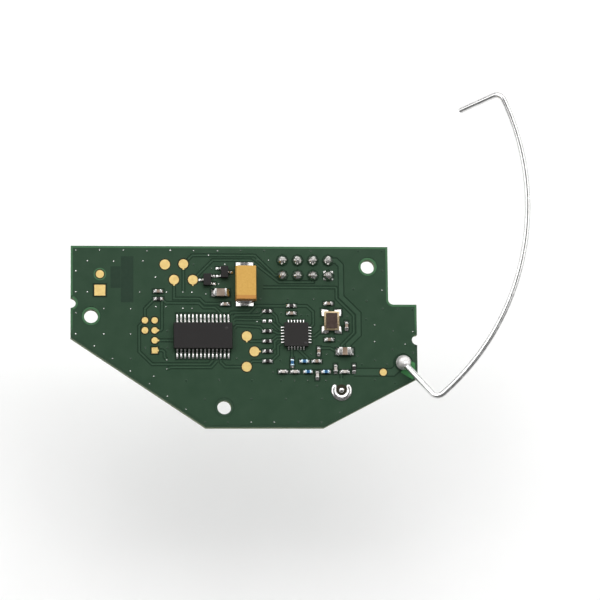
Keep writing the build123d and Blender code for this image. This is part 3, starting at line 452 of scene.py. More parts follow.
# %% Make the board
board = bare_walls("circuit_board")
rims = [edge for edge in board.edges if edge.is_boundary]
for above, inside in ((True, SHADED_GAPS), (False, UNDERSIDE)):
    rim = [edge for edge in rims if (edge.verts[0].co.z > board_top / 2) == above]
    filled = bmesh.ops.triangle_fill(
        board, edges=add_band(board, rim), use_beauty=True, use_dissolve=False
    )
    for face in only(BMFace, filled["geom"]):
        face.material_index = inside
bmesh.ops.recalc_face_normals(board, faces=board.faces)
finish_piece(
    "board", board, [gap_mask_and_shade, laminate_band_glow_and_shade, routed_edge, masked_copper], ["circuit_board"],
    sharp=30,
)

# %% [markdown]
# ## Small round things on the board
#
# A via is a plated hole a third of a millimetre wide that joins the copper on both sides.
# Under the mask it shows as a tiny ring with a dark mouth. Where the mask left the mouth open,
# a bead of tin glints in it. Where the mask ran in, only a smaller one does. The holes could
# be drilled through the board, but more than a hundred of them would cost thousands of faces.
# So the ring, the mouth and the bead are low cones, and a dozen sides are enough for something
# two pixels wide. The mouth is a raised cone, and its dark colour is painted shade of the hole.

# %% Where the vias are
open_vias = [
    (13.05, 11), (-0.6, 9.2), (3.7, 9.15), (8.55, 9.2), (-2.5, 7.5), (10.6, 6.5), (-2.5, 4),
    (-0.6, 4), (12.4, 4), (10.65, 1.55), (-2.5, -3), (2.1, -3), (0.55, -5), (6.45, -9.15),
    (19.35, 10.2), (22.05, 8.7), (16.6, 4), (15.1, 1.3),
]
half_open_vias = [
    (-2.5, 11), (1.4, 11), (5.3, 11), (9.2, 10.9), (16.9, 11), (20.85, 10.95), (8, 4),
    (2.1, 1.2), (6.5, 1.2), (-2.5, 0.5), (12.3, 1.55), (6.5, -3), (3.5, -7.1), (10.3, -10),
    (9.55, -11.25), (12.5, -13.3), (12.4, -7.3), (12.4, -8.8), (21, 5.4), (15.1, 4),
    (18.9, 3.7), (16.6, 1.3), (29.3, 9.4), (27.3, -0.9), (48.1, 4.45), (53.1, -2.5),
    (46.8, -1.4), (46.75, -4.2), (51.8, -4.6), (15.55, -15.45), (26.2, -17.6), (30, -17.6),
]
filmed_vias = [
    (24.7, 11), (28.6, 11), (36.3, 11), (8.9, -5.3), (12.5, -2.5), (12.5, -5.3), (6.5, -7.1),
    (16.9, 8.65), (19.85, 8), (27.9, 2.9), (27.5, 9.4), (27.3, 0.75), (23.9, -7), (45.5, 2.6),
    (32.4, 2.9), (36.7, 2.9), (42.2, 0), (38.75, -6.3), (36.2, -6.3), (43.9, -6.6),
    (40.75, -4.1), (48.15, 7.7), (48.15, 1.3), (50.7, 1.3), (49.8, -2.4), (46.75, -7.3),
    (49.7, -5.5), (53.1, -6), (48.7, -8), (46.7, -10.6), (21, -10.6), (33.4, -10.7),
    (35.6, -10.7), (38.6, -10.7), (37.1, -11.6), (18.65, -13.8), (26.3, -13.75),
    (31.95, -13.75), (37.9, -13.75), (18.65, -17.6), (22.4, -17.6), (33.95, -17.6),
    (37.75, -17.6), (40.85, -16), (29.9, -9.3),
]
covered_vias = [
    (44.2, 11), (48.15, 11), (43.35, 4.6), (45.35, -0.45), (31.3, 0.5), (34.6, 0.2),
    (35.7, 0.2), (31.1, -7.3), (53.1, 1.2), (44.6, -8), (50, -11.1), (15.6, -10.7),
    (26.4, -10.7), (31.2, -10.7),
]
print("vias:", len(open_vias + half_open_vias + filmed_vias + covered_vias))

# %% Make the vias
def add_disc(shape, centre, radius, thickness, top_radius=None, sides=12):
    """A low round step, given by the middle of its base."""
    place = Matrix.Translation(Vector(centre) + UP * thickness / 2)
    bmesh.ops.create_cone(
        shape, cap_ends=True, segments=sides, radius1=radius,
        radius2=radius if top_radius is None else top_radius, depth=thickness, matrix=place,
    )


rings = bmesh.new()
mouths = bmesh.new()
beads = bmesh.new()
for places, bead_radius, bead_height in [
    (open_vias, 0.13, 0.06), (half_open_vias, 0.1, 0.045), (filmed_vias, 0.08, 0.06),
    (covered_vias, None, None),
]:
    for x, y in places:
        add_disc(rings, (x, y, copper_top - 0.02), 0.25, 0.03, top_radius=0.2)
        # Each mouth is a raised dark disc: painted shade where the real hole is.
        add_disc(mouths, (x, y, copper_top), 0.15, 0.02, top_radius=0.14, sides=10)
        if bead_radius:
            foot = (x, y, copper_top)
            add_disc(beads, foot, bead_radius, bead_height, top_radius=0.03, sides=8)
finish_piece("via_rims", rings, [masked_track])
finish_piece("via_mouths", mouths, [gap_mask_and_shade])
finish_piece("via_beads", beads, [solder])

# %% [markdown]
# ## Blocks with soft edges
#
# Chips, ends and cases are all blocks at heart, but nothing real has a knife edge. A bevel
# of a few hundredths of a millimetre catches a thin line of light and makes the block read
# as solid. A modifier could round the whole piece at once. The operator rounds each block as
# it is made, so blocks with different roundings can share one piece.

# %% A bevelled block
def add_block(shape, low, high, rounding, segments=2):
    """A block between two corners with rounded edges."""
    size = high - low
    place = Matrix.Translation((low + high) / 2) @ Matrix.Diagonal((*size, 1))
    made = bmesh.ops.create_cube(shape, size=1, matrix=place)["verts"]
    bmesh.ops.bevel(
        shape, geom=edges_of(made), offset=rounding, offset_type="OFFSET", segments=segments,
        profile=0.5, affect="EDGES", clamp_overlap=True, material=-1,
    )

# %% [markdown]
# ## Windows in the copper
#
# In three places the copper below the mask is left out. The two beside the corner pads are
# dark rectangles. The third lies under the antenna's wire, where copper would spoil its
# reception, and light comes up through it, so it is a vivid green. They could be cut out of
# the ground copper, but a sheet with holes is harder to change later. A thin plate over each
# place looks the same.

# %% The two blank windows beside the corner pads
windows = bmesh.new()
for low, high in [((4.9, 2.3), (6.95, 10.0)), ((3.2, 4.7), (4.85, 8.3))]:
    bottom = Vector((*low, copper_top - 0.01))
    top = Vector((*high, copper_top + 0.006))
    add_block(windows, bottom, top, rounding=0.002, segments=1)
finish_piece("blank_windows", windows, [window_mask], sharp=20)

# %% The clear window beside the antenna
window = bmesh.new()
outline = [(52.4, -7.2), (53.4, -7.75), (53.4, -10.15), (52.85, -10.4), (51.0, -9.3)]
base = window.faces.new([window.verts.new((x, y, board_top + 0.002)) for x, y in outline])
raised = bmesh.ops.extrude_face_region(window, geom=[base])["geom"]
thickness = copper_top - board_top + 0.004
bmesh.ops.translate(window, verts=only(BMVert, raised), vec=UP * thickness)
bmesh.ops.recalc_face_normals(window, faces=window.faces)
finish_piece("clear_window", window, [clear_window], sharp=20)

# %% [markdown]
# ## Gold test pads
#
# The pads are bare copper plated with gold, so a probe can touch them. The mask stops a
# little short of each pad, and the laminate shows as a thin brown ring. A short stub leads
# from some pads into the masked track. The pads could be cut out of one gold sheet, but they
# are separate in reality, so each is a low disc or block. The ring is a wider and lower one.

# %% Where the pads are: middle, width, and the angles of their stubs
round_pads = [
    (1.45, 7.0, 1.36, []), (12.15, 8.65, 1.7, []), (15.2, 8.75, 1.6, [-90]),
    (13.65, 6.1, 1.64, [-90]), (16.75, 6.1, 1.64, [-90]), (8.85, -0.7, 1.08, []),
    (10.45, -0.7, 1.08, []), (8.85, -2.37, 1.12, []), (10.45, -2.37, 1.08, [0]),
    (10.45, -4.04, 1.08, [0]), (25.6, -3.3, 1.65, [-90]), (26.85, -5.85, 1.65, [0]),
    (25.55, -8.4, 1.65, []), (48.1, -9.28, 1.2, []),
]
square_pads = [(1.45, 4.3, 1.8, []), (10.45, -5.71, 0.98, [0])]
OPENING = 0.14
STUB_WIDTH = 0.26
RING_RISE = copper_top - board_top + 0.006
PAD_RISE = RING_RISE + 0.014
print("test pads:", len(round_pads) + len(square_pads))

# %% A stub that leads out of a pad
def heading(angle):
    """The level direction at an angle, in degrees, from X."""
    return Matrix.Rotation(math.radians(angle), 3, "Z") @ Vector((1, 0, 0))


def add_stub(shape, x, y, width, angle):
    """A short bar that leads out of a pad, along X or Y."""
    way = heading(angle)
    side = Vector((abs(way.y), abs(way.x), 0)) * STUB_WIDTH / 2
    ends = [Vector((x, y, board_top)) + way * (width / 2 + r) for r in (-0.1, 0.18)]
    low, high = corners(ends)
    add_block(shape, low - side, high + side + UP * (PAD_RISE - 0.004), 0.01, 1)

# %% Make the pads and their rings
halo = bmesh.new()
# The bright ring round the first round pad uses the band's finish, so its glow is painted light
# too.
add_disc(halo, (*round_pads[0][:2], board_top), 1.03, RING_RISE - 0.003, sides=32)
finish_piece("pad_halo", halo, [laminate_band_glow_and_shade], sharp=20)
pads = bmesh.new()
openings = bmesh.new()
for x, y, width, stubs in round_pads:
    add_disc(openings, (x, y, board_top), width / 2 + OPENING, RING_RISE, sides=32)
    add_disc(pads, (x, y, board_top), width / 2, PAD_RISE, width / 2 - 0.02, sides=32)
    for angle in stubs:
        add_stub(pads, x, y, width, angle)
for x, y, width, stubs in square_pads:
    half = Vector((width / 2, width / 2, 0))
    rim = half + Vector((OPENING, OPENING, 0))
    middle = Vector((x, y, board_top))
    add_block(openings, middle - rim, middle + rim + UP * RING_RISE, 0.02, 1)
    add_block(pads, middle - half, middle + half + UP * PAD_RISE, 0.02)
    for angle in stubs:
        add_stub(pads, x, y, width, angle)
finish_piece("pad_openings", openings, [bare_ring], sharp=20)
finish_piece("gold_pads", pads, [gold_plate], ["test_pads"], sharp=20)

# %% [markdown]
# ## Chip cases
#
# The controller's case is moulded in two halves, so it is widest at the line where they meet
# and tapers both ways to leave the mould. Two tapered blocks could be put together, but they
# would leave a seam inside. So the case is a thin block at that line. Its top and its bottom
# face are each extruded, moved and scaled, and then every edge is rounded a little. The radio
# chip was sawn from a moulded panel, so its walls are upright. Each has a round dimple beside
# its first pin.

# %% A moulded case
def add_case(shape, low, high, band, draft, rounding):
    """A case that is widest at its parting line and tapers above and below it."""
    middle = (low + high) / 2
    size = high - low
    place = Matrix.Translation(middle) @ Matrix.Diagonal((size.x, size.y, band, 1))
    verts = list(bmesh.ops.create_cube(shape, size=1, matrix=place)["verts"])
    faces = {face for vert in verts for face in vert.link_faces}
    rise = (size.z - band) / 2
    shrink = rise * math.tan(math.radians(draft))
    for up in (1, -1):
        cap = [face for face in faces if face.is_valid and face.normal.z * up > 0.9]
        moved = only(BMVert, bmesh.ops.extrude_face_region(shape, geom=cap)["geom"])
        bmesh.ops.delete(shape, geom=cap, context="FACES_ONLY")
        bmesh.ops.translate(shape, verts=moved, vec=UP * up * rise)
        bmesh.ops.scale(
            shape, verts=moved, vec=(1 - 2 * shrink / size.x, 1 - 2 * shrink / size.y, 1),
            space=Matrix.Translation((-middle.x, -middle.y, 0)),
        )
        verts += moved
    bmesh.ops.bevel(
        shape, geom=edges_of(verts), offset=rounding, offset_type="OFFSET", segments=2, profile=0.5,
        affect="EDGES", clamp_overlap=True, material=-1,
    )

# %% The controller's case and the radio chip's
case = bmesh.new()
controller_low, controller_high = node_box("controller_body")
add_case(case, controller_low, controller_high, band=0.15, draft=10, rounding=0.06)
finish_piece(
    "controller_case", case, [black_moulding], ["controller_body"], sharp=20
)

radio_case = bmesh.new()
radio_low, radio_high = node_box("radio_chip_body")
saw_cut = Vector((0.012, 0.012, 0))
add_block(radio_case, radio_low + saw_cut, radio_high - saw_cut, rounding=0.05)
finish_piece(
    "radio_case", radio_case, [radio_moulding], ["radio_chip_body"], sharp=20
)

# %% Dimples beside the first pins
dimples = bmesh.new()
for place in (
    controller_high - Vector((1.0, 1.0, 0)),
    Vector((radio_high.x - 0.5, radio_low.y + 0.5, radio_high.z)),
):
    add_disc(dimples, place, 0.26, 0.004, top_radius=0.24, sides=20)
finish_piece("pin_one_marks", dimples, [black_glaze])

# %% [markdown]
# ## Bending strip and wire
#
# The legs of the chips, the strips of the tantalum capacitor and the antenna are all made
# the same way in a factory: stock is pushed forward, bent over a former, and pushed on. A
# curve with a thickness could draw them too, but its section twists and swells in tight
# bends. The helper below works like the factory. It extrudes the open end of the stock along
# each straight and spins it about the bend's centre, so each bend is a true arc.

# %% Push the stock ahead
def push(shape, ring, way):
    """Extrude the open end of the stock straight ahead, and return the new end."""
    made = bmesh.ops.extrude_edge_only(shape, edges=ring)["geom"]
    verts = only(BMVert, made)
    bmesh.ops.translate(shape, verts=verts, vec=way)
    verts = set(verts)
    return [edge for edge in only(BMEdge, made) if verts.issuperset(edge.verts)]

# %% Bend the stock along a route
def bend_stock(shape, ring, route, bends):
    """Push and bend the stock along a route; each inner corner has a setback and steps."""
    start_ring = list(ring)
    reached = route[0]
    for before, corner, after, (setback, steps) in zip(route, route[1:], route[2:], bends):
        into = (corner - before).normalized()
        out = (after - corner).normalized()
        turn = into.angle(out)
        start = corner - into * setback
        if (start - reached).length > 0.001:
            ring = push(shape, ring, start - reached)
        axis = into.cross(out).normalized()
        centre = start + axis.cross(into) * (setback / math.tan(turn / 2))
        spun = bmesh.ops.spin(
            shape, geom=ring, cent=centre, axis=axis, angle=turn, steps=steps, use_merge=False
        )
        ring = only(BMEdge, spun["geom_last"])
        reached = corner + out * setback
    ring = push(shape, ring, route[-1] - reached)
    bmesh.ops.contextual_create(shape, geom=start_ring)
    bmesh.ops.contextual_create(shape, geom=ring)

# %% The open end of a flat strip
def open_section(shape, width, thickness, place):
    """The four edges of a flat strip's end, ready to be pushed."""
    made = bmesh.ops.create_grid(shape, x_segments=1, y_segments=1, size=0.5)["verts"]
    bmesh.ops.scale(shape, vec=(width, thickness, 1), verts=made)
    bmesh.ops.transform(shape, matrix=place, verts=made)
    face = made[0].link_faces[0]
    ring = list(face.edges)
    bmesh.ops.delete(shape, geom=[face], context="FACES_ONLY")
    return ring

# %% [markdown]
# ## Legs
#
# A gull-wing leg leaves the case at its middle, steps down and ends in a flat foot on its
# land. One leg could be made and copied, but the solid model already knows all of them. Each
# leg's tip and root are read from its solid, so the legs of one chip differ only in where
# they stand and which way they point.

# %% Where the legs stand
TOUCH = 0.02


def leg_frames(node, case_low, case_high):
    """For each leg: its root at board level, its way out, its reach, width and height."""
    case_middle = (case_low + case_high) / 2
    frames = []
    for points in solids_of(node):
        low, high = corners(points)
        middle, size = (low + high) / 2, high - low
        leaves_along_y = high.y <= case_low.y + TOUCH or low.y >= case_high.y - TOUCH
        axis = 1 if leaves_along_y else 0
        sign = 1 if middle[axis] > case_middle[axis] else -1
        way = Vector((0, 0, 0))
        way[axis] = sign
        root = Vector((middle.x, middle.y, low.z))
        root[axis] = case_high[axis] if sign > 0 else case_low[axis]
        frames.append((root, way, size[axis], size[1 - axis], size.z))
    return frames


frames = leg_frames("controller_leads", controller_low, controller_high)
print("controller legs:", len(frames))

# %% Bend the legs of a chip
def add_legs(shape, frames, thickness, shoulder, foot, setback):
    """Bend one leg for each frame."""
    for root, way, reach, width, height in frames:
        sole = root + UP * thickness / 2
        head = root + UP * (height - thickness / 2)
        route = [head, head + way * shoulder, sole + way * (reach - foot), sole + way * reach]
        place = Matrix((UP.cross(way), UP, way)).transposed().to_4x4()
        place.translation = head
        ring = open_section(shape, width, thickness, place)
        bend_stock(shape, ring, route, [(setback, 4)] * 2)
    bmesh.ops.recalc_face_normals(shape, faces=shape.faces)


legs = bmesh.new()
add_legs(legs, frames, thickness=0.15, shoulder=0.24, foot=0.58, setback=0.09)
finish_piece("controller_legs", legs, [tinned_metal], ["controller_leads"])

# %% The two small transistors
for side in ("left", "right"):
    case = bmesh.new()
    low, high = node_box(f"{side}_transistor_body")
    add_case(case, low, high, band=0.13, draft=6, rounding=0.05)
    finish_piece(
        f"{side}_transistor_case", case, [black_moulding], [f"{side}_transistor_body"],
        sharp=20,
    )
    legs = bmesh.new()
    frames = leg_frames(f"{side}_transistor_leads", low, high)
    add_legs(legs, frames, thickness=0.13, shoulder=0.09, foot=0.2, setback=0.05)
    finish_piece(
        f"{side}_transistor_legs", legs, [tinned_metal], [f"{side}_transistor_leads"],
    )

# %% [markdown]
# ## Solder
#
# Molten solder wets the land and the metal end and is drawn up between them, so it sets in a
# hollow slope that is widest at its foot. A plain wedge has the same outline, but its flat
# face would shine all at once. So each heap starts as a cube cut into small faces. Every point
# keeps its place on the land, and its height is lowered the nearer it is to the toe and to
# the sides. Which way is uphill is read from the solid joint: its highest points lie against
# the metal. In the picture the tantalum capacitor crept a little towards the near side while
# its solder was soft, so its joints, strips and case are all moved by that creep.

# %% A cube to shape heaps from
def fine_cube(shape, cuts=5):
    """A cube of size 1 cut into small faces, as the points to shape."""
    count = len(shape.verts)
    made = bmesh.ops.create_cube(shape, size=1)["verts"]
    bmesh.ops.subdivide_edges(shape, edges=edges_of(made), cuts=cuts, use_grid_fill=True)
    return list(shape.verts)[count:]

# %% The slopes of a heap
TOE = 0.12
SIDE_SAG = 0.45
TOE_TAPER = 0.28


def slope_of(climb, across, bulge, lean):
    """The height of a heap between toe and crest, and the width it has there."""
    slope = (1 - bulge) * climb ** 1.5 + bulge * math.sin(climb * math.pi / 2)
    height = TOE + (1 - TOE) * slope * (1 - SIDE_SAG * abs(across) ** 2.5) * (1 + lean * across)
    return height, 1 - TOE_TAPER * (1 - climb) ** 2.2


def cushion_of(along, across):
    """The same for a low heap that has nothing to climb."""
    height = 0.4 + 1.2 * (1 - abs(along) ** 3) * (1 - abs(across) ** 3)
    return height, 1 - 0.15 * along ** 4

# %% A heap over one joint
def add_heap(shape, points, bulge):
    """Solder over the land of one solid joint, climbing towards its highest side."""
    low, high = corners(points)
    middle, size = (low + high) / 2, high - low
    crest = [p for p in points if p.z > high.z - TOUCH]
    uphill = sum(crest, Vector()) / len(crest) - middle
    axis = 0 if abs(uphill.x) > abs(uphill.y) else 1
    way = Vector((0, 0, 0))
    way[axis] = math.copysign(1, uphill[axis])
    across = UP.cross(way)
    reach, width = size[axis], size[1 - axis]
    level = uphill.xy.length < TOUCH
    wall = reach if level else abs(crest[0].dot(way) - (middle.dot(way) - reach / 2))
    lean = chance.uniform(-0.12, 0.12)
    for vert in fine_cube(shape):
        u, v, w = vert.co.x + 0.5, vert.co.y * 2, vert.co.z + 0.5
        climb = max(0.0, min(1.0, u * reach / wall))
        top, narrow = cushion_of(2 * u - 1, v) if level else slope_of(climb, v, bulge, lean)
        vert.co = middle + way * (u - 0.5) * reach + across * v * width / 2 * narrow
        vert.co.z = low.z + w * size.z * top

# %% All the flat solder joints
CREEP = Vector((0, -0.28, 0))


def solder_piece(name, node, bulge, moved=Vector((0, 0, 0))):
    """One piece for all the joints of a node."""
    shape = bmesh.new()
    for points in solids_of(node):
        add_heap(shape, [point + moved for point in points], bulge)
    bmesh.ops.recalc_face_normals(shape, faces=shape.faces)
    finish_piece(name, shape, [solder], [node], sharp=60)


solder_piece("controller_fillets", "controller_solder", bulge=0.5)
solder_piece("radio_fillets", "radio_chip_solder", bulge=0.5)
solder_piece("transistor_fillets", "transistor_solder", bulge=0.6)
solder_piece("tantalum_fillets", "tantalum_capacitor_solder", bulge=0.7, moved=CREEP)
solder_piece("large_capacitor_fillets", "large_capacitor_solder", bulge=0.5)
solder_piece("small_chip_fillets", "small_chip_solder", bulge=0.45)

# %% [markdown]
# ## Chip parts
#
# A chip capacitor or inductor is a block of ceramic whose two ends were dipped in metal. The
# dip leaves the ends a little thicker than the block and gives them round corners. One block
# with three materials could do, but the thicker ends are what the eye sees first. So block
# and ends stay apart, as in the solid model. A reach draws the metal in over the block by
# that much. One below zero draws it back, and the block grows to meet it.

# %% Blocks and their metal ends
def middles(boxes):
    """The middle of each box, given by its corners."""
    return [(low + high) / 2 for low, high in boxes]


def long_way(start, place):
    """Along which axis, and which way, one place lies from another."""
    step = (place - start).xy
    axis = 0 if abs(step.x) > abs(step.y) else 1
    return axis, math.copysign(1, step[axis])


def nearest(place, places):
    """The one of some places that lies nearest."""
    return min(places, key=lambda other: (other - place).length)


def dress_chips(name, blocks, ends, ceramic, dip=tinned_metal, reach=0.0):
    """Round off the ceramic blocks and the metal ends of one kind of chip part."""
    block_boxes = [corners(points) for points in solids_of(blocks)]
    end_boxes = [corners(points) for points in solids_of(ends)]
    bodies = bmesh.new()
    for (low, high), middle in zip(block_boxes, middles(block_boxes)):
        axis, _ = long_way(middle, nearest(middle, middles(end_boxes)))
        low[axis] += min(0.0, reach)
        high[axis] -= min(0.0, reach)
        add_block(bodies, low, high, rounding=0.03)
    finish_piece(f"{name}_blocks", bodies, [ceramic], [blocks], sharp=20)
    caps = bmesh.new()
    for (low, high), middle in zip(end_boxes, middles(end_boxes)):
        axis, sign = long_way(nearest(middle, middles(block_boxes)), middle)
        if sign > 0:
            low[axis] -= reach
        else:
            high[axis] += reach
        add_block(caps, low, high, rounding=0.055, segments=3)
    finish_piece(f"{name}_caps", caps, [dip], [ends])

# %% Small chip parts
for kind in ("line_resistor", "other_resistor"):
    dress_chips(
        kind, f"{kind}_bodies", f"{kind}_ends", black_glaze, reach=-0.07
    )
dress_chips(
    "small_capacitor", "small_capacitor_bodies", "small_capacitor_ends", tan_ceramic,
)
dress_chips(
    "inductor", "matching_inductor_bodies", "matching_inductor_ends", blue_coating,
    dip=blue_dip,
)
dress_chips(
    "matching_capacitor", "matching_capacitor_bodies", "matching_capacitor_ends", pale_ceramic,
)

# %% The two large chip capacitors
dress_chips(
    "supply_capacitor", "supply_capacitor_body", "supply_capacitor_ends", tan_ceramic,
    reach=-0.08,
)
dress_chips(
    "reservoir_capacitor", "reservoir_capacitor_body", "reservoir_capacitor_ends",
    brown_ceramic, reach=0.2,
)

# %% [markdown]
# ## The tantalum capacitor
#
# This one is moulded in yellow resin, with a darker band at its positive end. The band could
# be a thin block on top, but it is only paint on the case, so it belongs in the material: a
# sharp step along the length of the case. The strips that carry the current come out at mid
# height, fold down the ends and run under the case, where the solder holds them. They are
# bent on the same bender as the legs.

# %% Resin with its painted band
WIDER = Vector((0.3, 0, 0))
case_low, case_high = node_box("tantalum_capacitor_body")
case_low += CREEP
case_high += CREEP + WIDER
resin = speckled(
    "tantalum resin", (0.53, 0.30, 0.062), (0.59, 0.35, 0.08), 0.3, (0.45, 0.55),
    bump=0.003, bump_grain=0.06, gloss=0.3,
)
paint_zone(resin, "Y", case_low.y + 0.78, case_low.y + 0.72, (0.46, 0.215, 0.048))

# %% The case
case = bmesh.new()
add_case(case, case_low, case_high, band=0.12, draft=6, rounding=0.1)
finish_piece(
    "tantalum_case", case, [resin], ["tantalum_capacitor_body"], sharp=20
)

# %% Fold the strips
STRIP = 0.12
strips = bmesh.new()
for points in solids_of("tantalum_capacitor_terminals"):
    low, high = (corner + CREEP for corner in corners(points))
    at_far_end = low.y > case_low.y + 1
    way = Vector((0, 1 if at_far_end else -1, 0))
    middle = (low.x + high.x) / 2
    inner = Vector((middle, low.y if at_far_end else high.y, low.z + STRIP / 2))
    heel = Vector((middle, high.y if at_far_end else low.y, inner.z)) - way * STRIP / 2
    head = Vector((heel.x, heel.y, high.z))
    place = Matrix((UP.cross(way), UP, -way)).transposed().to_4x4()
    place.translation = inner
    ring = open_section(strips, high.x - low.x, STRIP, place)
    bend_stock(strips, ring, [inner, heel, head], [(0.12, 4)])
bmesh.ops.recalc_face_normals(strips, faces=strips.faces)
finish_piece(
    "tantalum_strips", strips, [tinned_metal], ["tantalum_capacitor_terminals"]
)

# %% [markdown]
# ## The crystal
#
# The quartz plate sits in a ceramic tray. A gold-plated ring is brazed on top of the tray and
# a thin lid is welded to it, so from above you see a bright frame round a darker plate. The
# ring could have a hole, but the lid hides it, so a solid plate below the lid looks the same.
# The corners of the tray are notched, and solder climbs in each notch from outside. Its
# highest point is in the middle of a corner and not along a side, so its heaps have a slope
# of their own.

# %% Ring and lid of the crystal
rim = bmesh.new()
add_block(rim, *node_box("crystal_seal_ring"), rounding=0.2, segments=4)
finish_piece("crystal_rim", rim, [rim_gold], ["crystal_seal_ring"], sharp=20)

lid = bmesh.new()
add_block(lid, *node_box("crystal_lid"), rounding=0.035)
finish_piece("crystal_cap", lid, [lid_nickel], ["crystal_lid"], sharp=20)

# %% Solder at the corners of the crystal
CORNER_TOE = 0.15
fillets = bmesh.new()
crystal_middle = sum(node_box("crystal_case"), Vector()) / 2
for points in solids_of("crystal_solder"):
    low, high = corners(points)
    middle, size = (low + high) / 2, high - low
    outward = middle - crystal_middle
    for vert in fine_cube(fillets):
        x, y, z = vert.co
        u = 2 * x * math.copysign(1, outward.x)
        v = 2 * y * math.copysign(1, outward.y)
        height = CORNER_TOE + (1 - CORNER_TOE) * (1 - min(1.0, max(u, v, 0.0))) ** 0.8
        narrow = 1 - 0.12 * (u * u * v * v)
        vert.co = middle + Vector((x * size.x, y * size.y, 0)) * narrow
        vert.co.z = low.z + (z + 0.5) * size.z * height
bmesh.ops.recalc_face_normals(fillets, faces=fillets.faces)
finish_piece("crystal_fillets", fillets, [solder], ["crystal_solder"], sharp=60)

# %% [markdown]
# ## Turned shapes of solder
#
# The solder at a header pin wets both the land and the pin, so it stands up as a full cone
# with a round top. Half a ball is too plain for it. Since it is round, a short profile can be
# spun once about the pin, and each step of the profile is easy to change. A soft wave pushes
# the points in and out, so that no two joints are twins. The land of the first pin is square,
# so that a fitter can find it, and its corners look out from under the joint.

# %% Spin a profile
def spin_profile(shape, centre, profile, steps=24):
    """Turn a profile of radii and heights once round a vertical line."""
    older = set(shape.verts)
    verts = [shape.verts.new((radius, 0, height)) for radius, height in profile]
    edges = [shape.edges.new(pair) for pair in zip(verts, verts[1:])]
    bmesh.ops.spin(
        shape, geom=verts + edges, cent=(0, 0, 0), axis=(0, 0, 1), angle=2 * math.pi,
        steps=steps, use_merge=True,
    )
    spun = [vert for vert in shape.verts if vert not in older]
    bmesh.ops.remove_doubles(shape, verts=spun, dist=0.0005)
    spun = [vert for vert in shape.verts if vert not in older]
    bmesh.ops.translate(shape, verts=spun, vec=centre)
    return spun

# %% A soft wave in a joint
def uneven(verts, centre, amount):
    """Push the points of a joint in and out a little, the same way each run."""
    phase = chance.uniform(0, 6.28)
    for vert in verts:
        away = vert.co - centre
        turn = math.atan2(away.y, away.x)
        wave = math.sin(2 * turn + phase) + 0.6 * math.sin(3 * turn + 2 * phase)
        lifted = min(1, 3 * max(0.0, away.z))
        vert.co += Vector((away.x, away.y, 0)) * amount * wave * lifted

# %% The header's eight joints
profile = [
    (0.86, 0.0), (0.85, 0.1), (0.8, 0.26), (0.72, 0.43), (0.6, 0.6), (0.46, 0.76),
    (0.36, 0.87), (0.2, 0.93), (0.0, 0.95),
]
joints = bmesh.new()
pins = []
for points in solids_of("header_solder"):
    low, high = corners(points)
    centre = Vector(((low.x + high.x) / 2, (low.y + high.y) / 2, low.z))
    pins.append(centre)
    uneven(spin_profile(joints, centre, profile), centre, 0.05)
bmesh.ops.recalc_face_normals(joints, faces=joints.faces)
finish_piece("header_joints", joints, [joint_solder], ["header_solder"], sharp=70)

# %% The square land of the first pin
first_pin = max(pins, key=lambda pin: pin.x - pin.y)
corner = Vector((0.78, 0.78, 0))
land = bmesh.new()
add_block(land, first_pin - corner, first_pin + corner + UP * 0.14, rounding=0.06)
finish_piece("first_pin_land", land, [solder], sharp=20)
print("first pin at", [round(v, 2) for v in first_pin])

# %% [markdown]
# ## The coaxial solder point
#
# A test cable can be soldered here: its screen to the horseshoe and its core to the dome in
# the middle. The horseshoe is one bead of solder bent round. A torus could be cut open, but
# its cut ends would be flat. So it is made like the wire: a round section is spun about the
# middle, and each end is drawn in to a round nose. Below them lie the masked copper that
# carries the screen and the bare ring round the core.

# %% The copper below the coaxial point
core_low, core_high = node_box("coax_core_solder")
core = Vector(((core_low.x + core_high.x) / 2, (core_low.y + core_high.y) / 2, board_top))
backing = bmesh.new()
add_disc(backing, core, 1.98, copper_top - board_top - 0.004, sides=48)
finish_piece("screen_backing", backing, [masked_copper], sharp=20)
opening = bmesh.new()
add_disc(opening, core, 0.95, copper_top - board_top + 0.003, sides=32)
finish_piece("core_opening", opening, [bare_ring], sharp=20)

# %% The open end of round stock
def open_round(shape, radius, centre, way, sides=20):
    """The edges of a round section, facing along a direction."""
    place = Matrix.Translation(centre) @ way.to_track_quat("Z", "Y").to_matrix().to_4x4()
    made = bmesh.ops.create_circle(
        shape, cap_ends=False, segments=sides, radius=radius, matrix=place
    )["verts"]
    return edges_of(made)

# %% A round nose for it
def round_nose(shape, ring, centre, way, radius, steps=5):
    """Close the open end of round stock with half a ball."""
    drawn = 1.0
    travelled = 0.0
    for step in range(1, steps + 1):
        turn = math.pi / 2 * step / (steps + 0.3)
        ring = push(shape, ring, way * radius * (math.sin(turn) - travelled))
        travelled = math.sin(turn)
        verts = list({vert for edge in ring for vert in edge.verts})
        middle = centre + way * radius * travelled
        bmesh.ops.scale(
            shape, verts=verts, vec=[math.cos(turn) / drawn] * 3, space=Matrix.Translation(-middle)
        )
        drawn = math.cos(turn)
    bmesh.ops.contextual_create(shape, geom=ring)

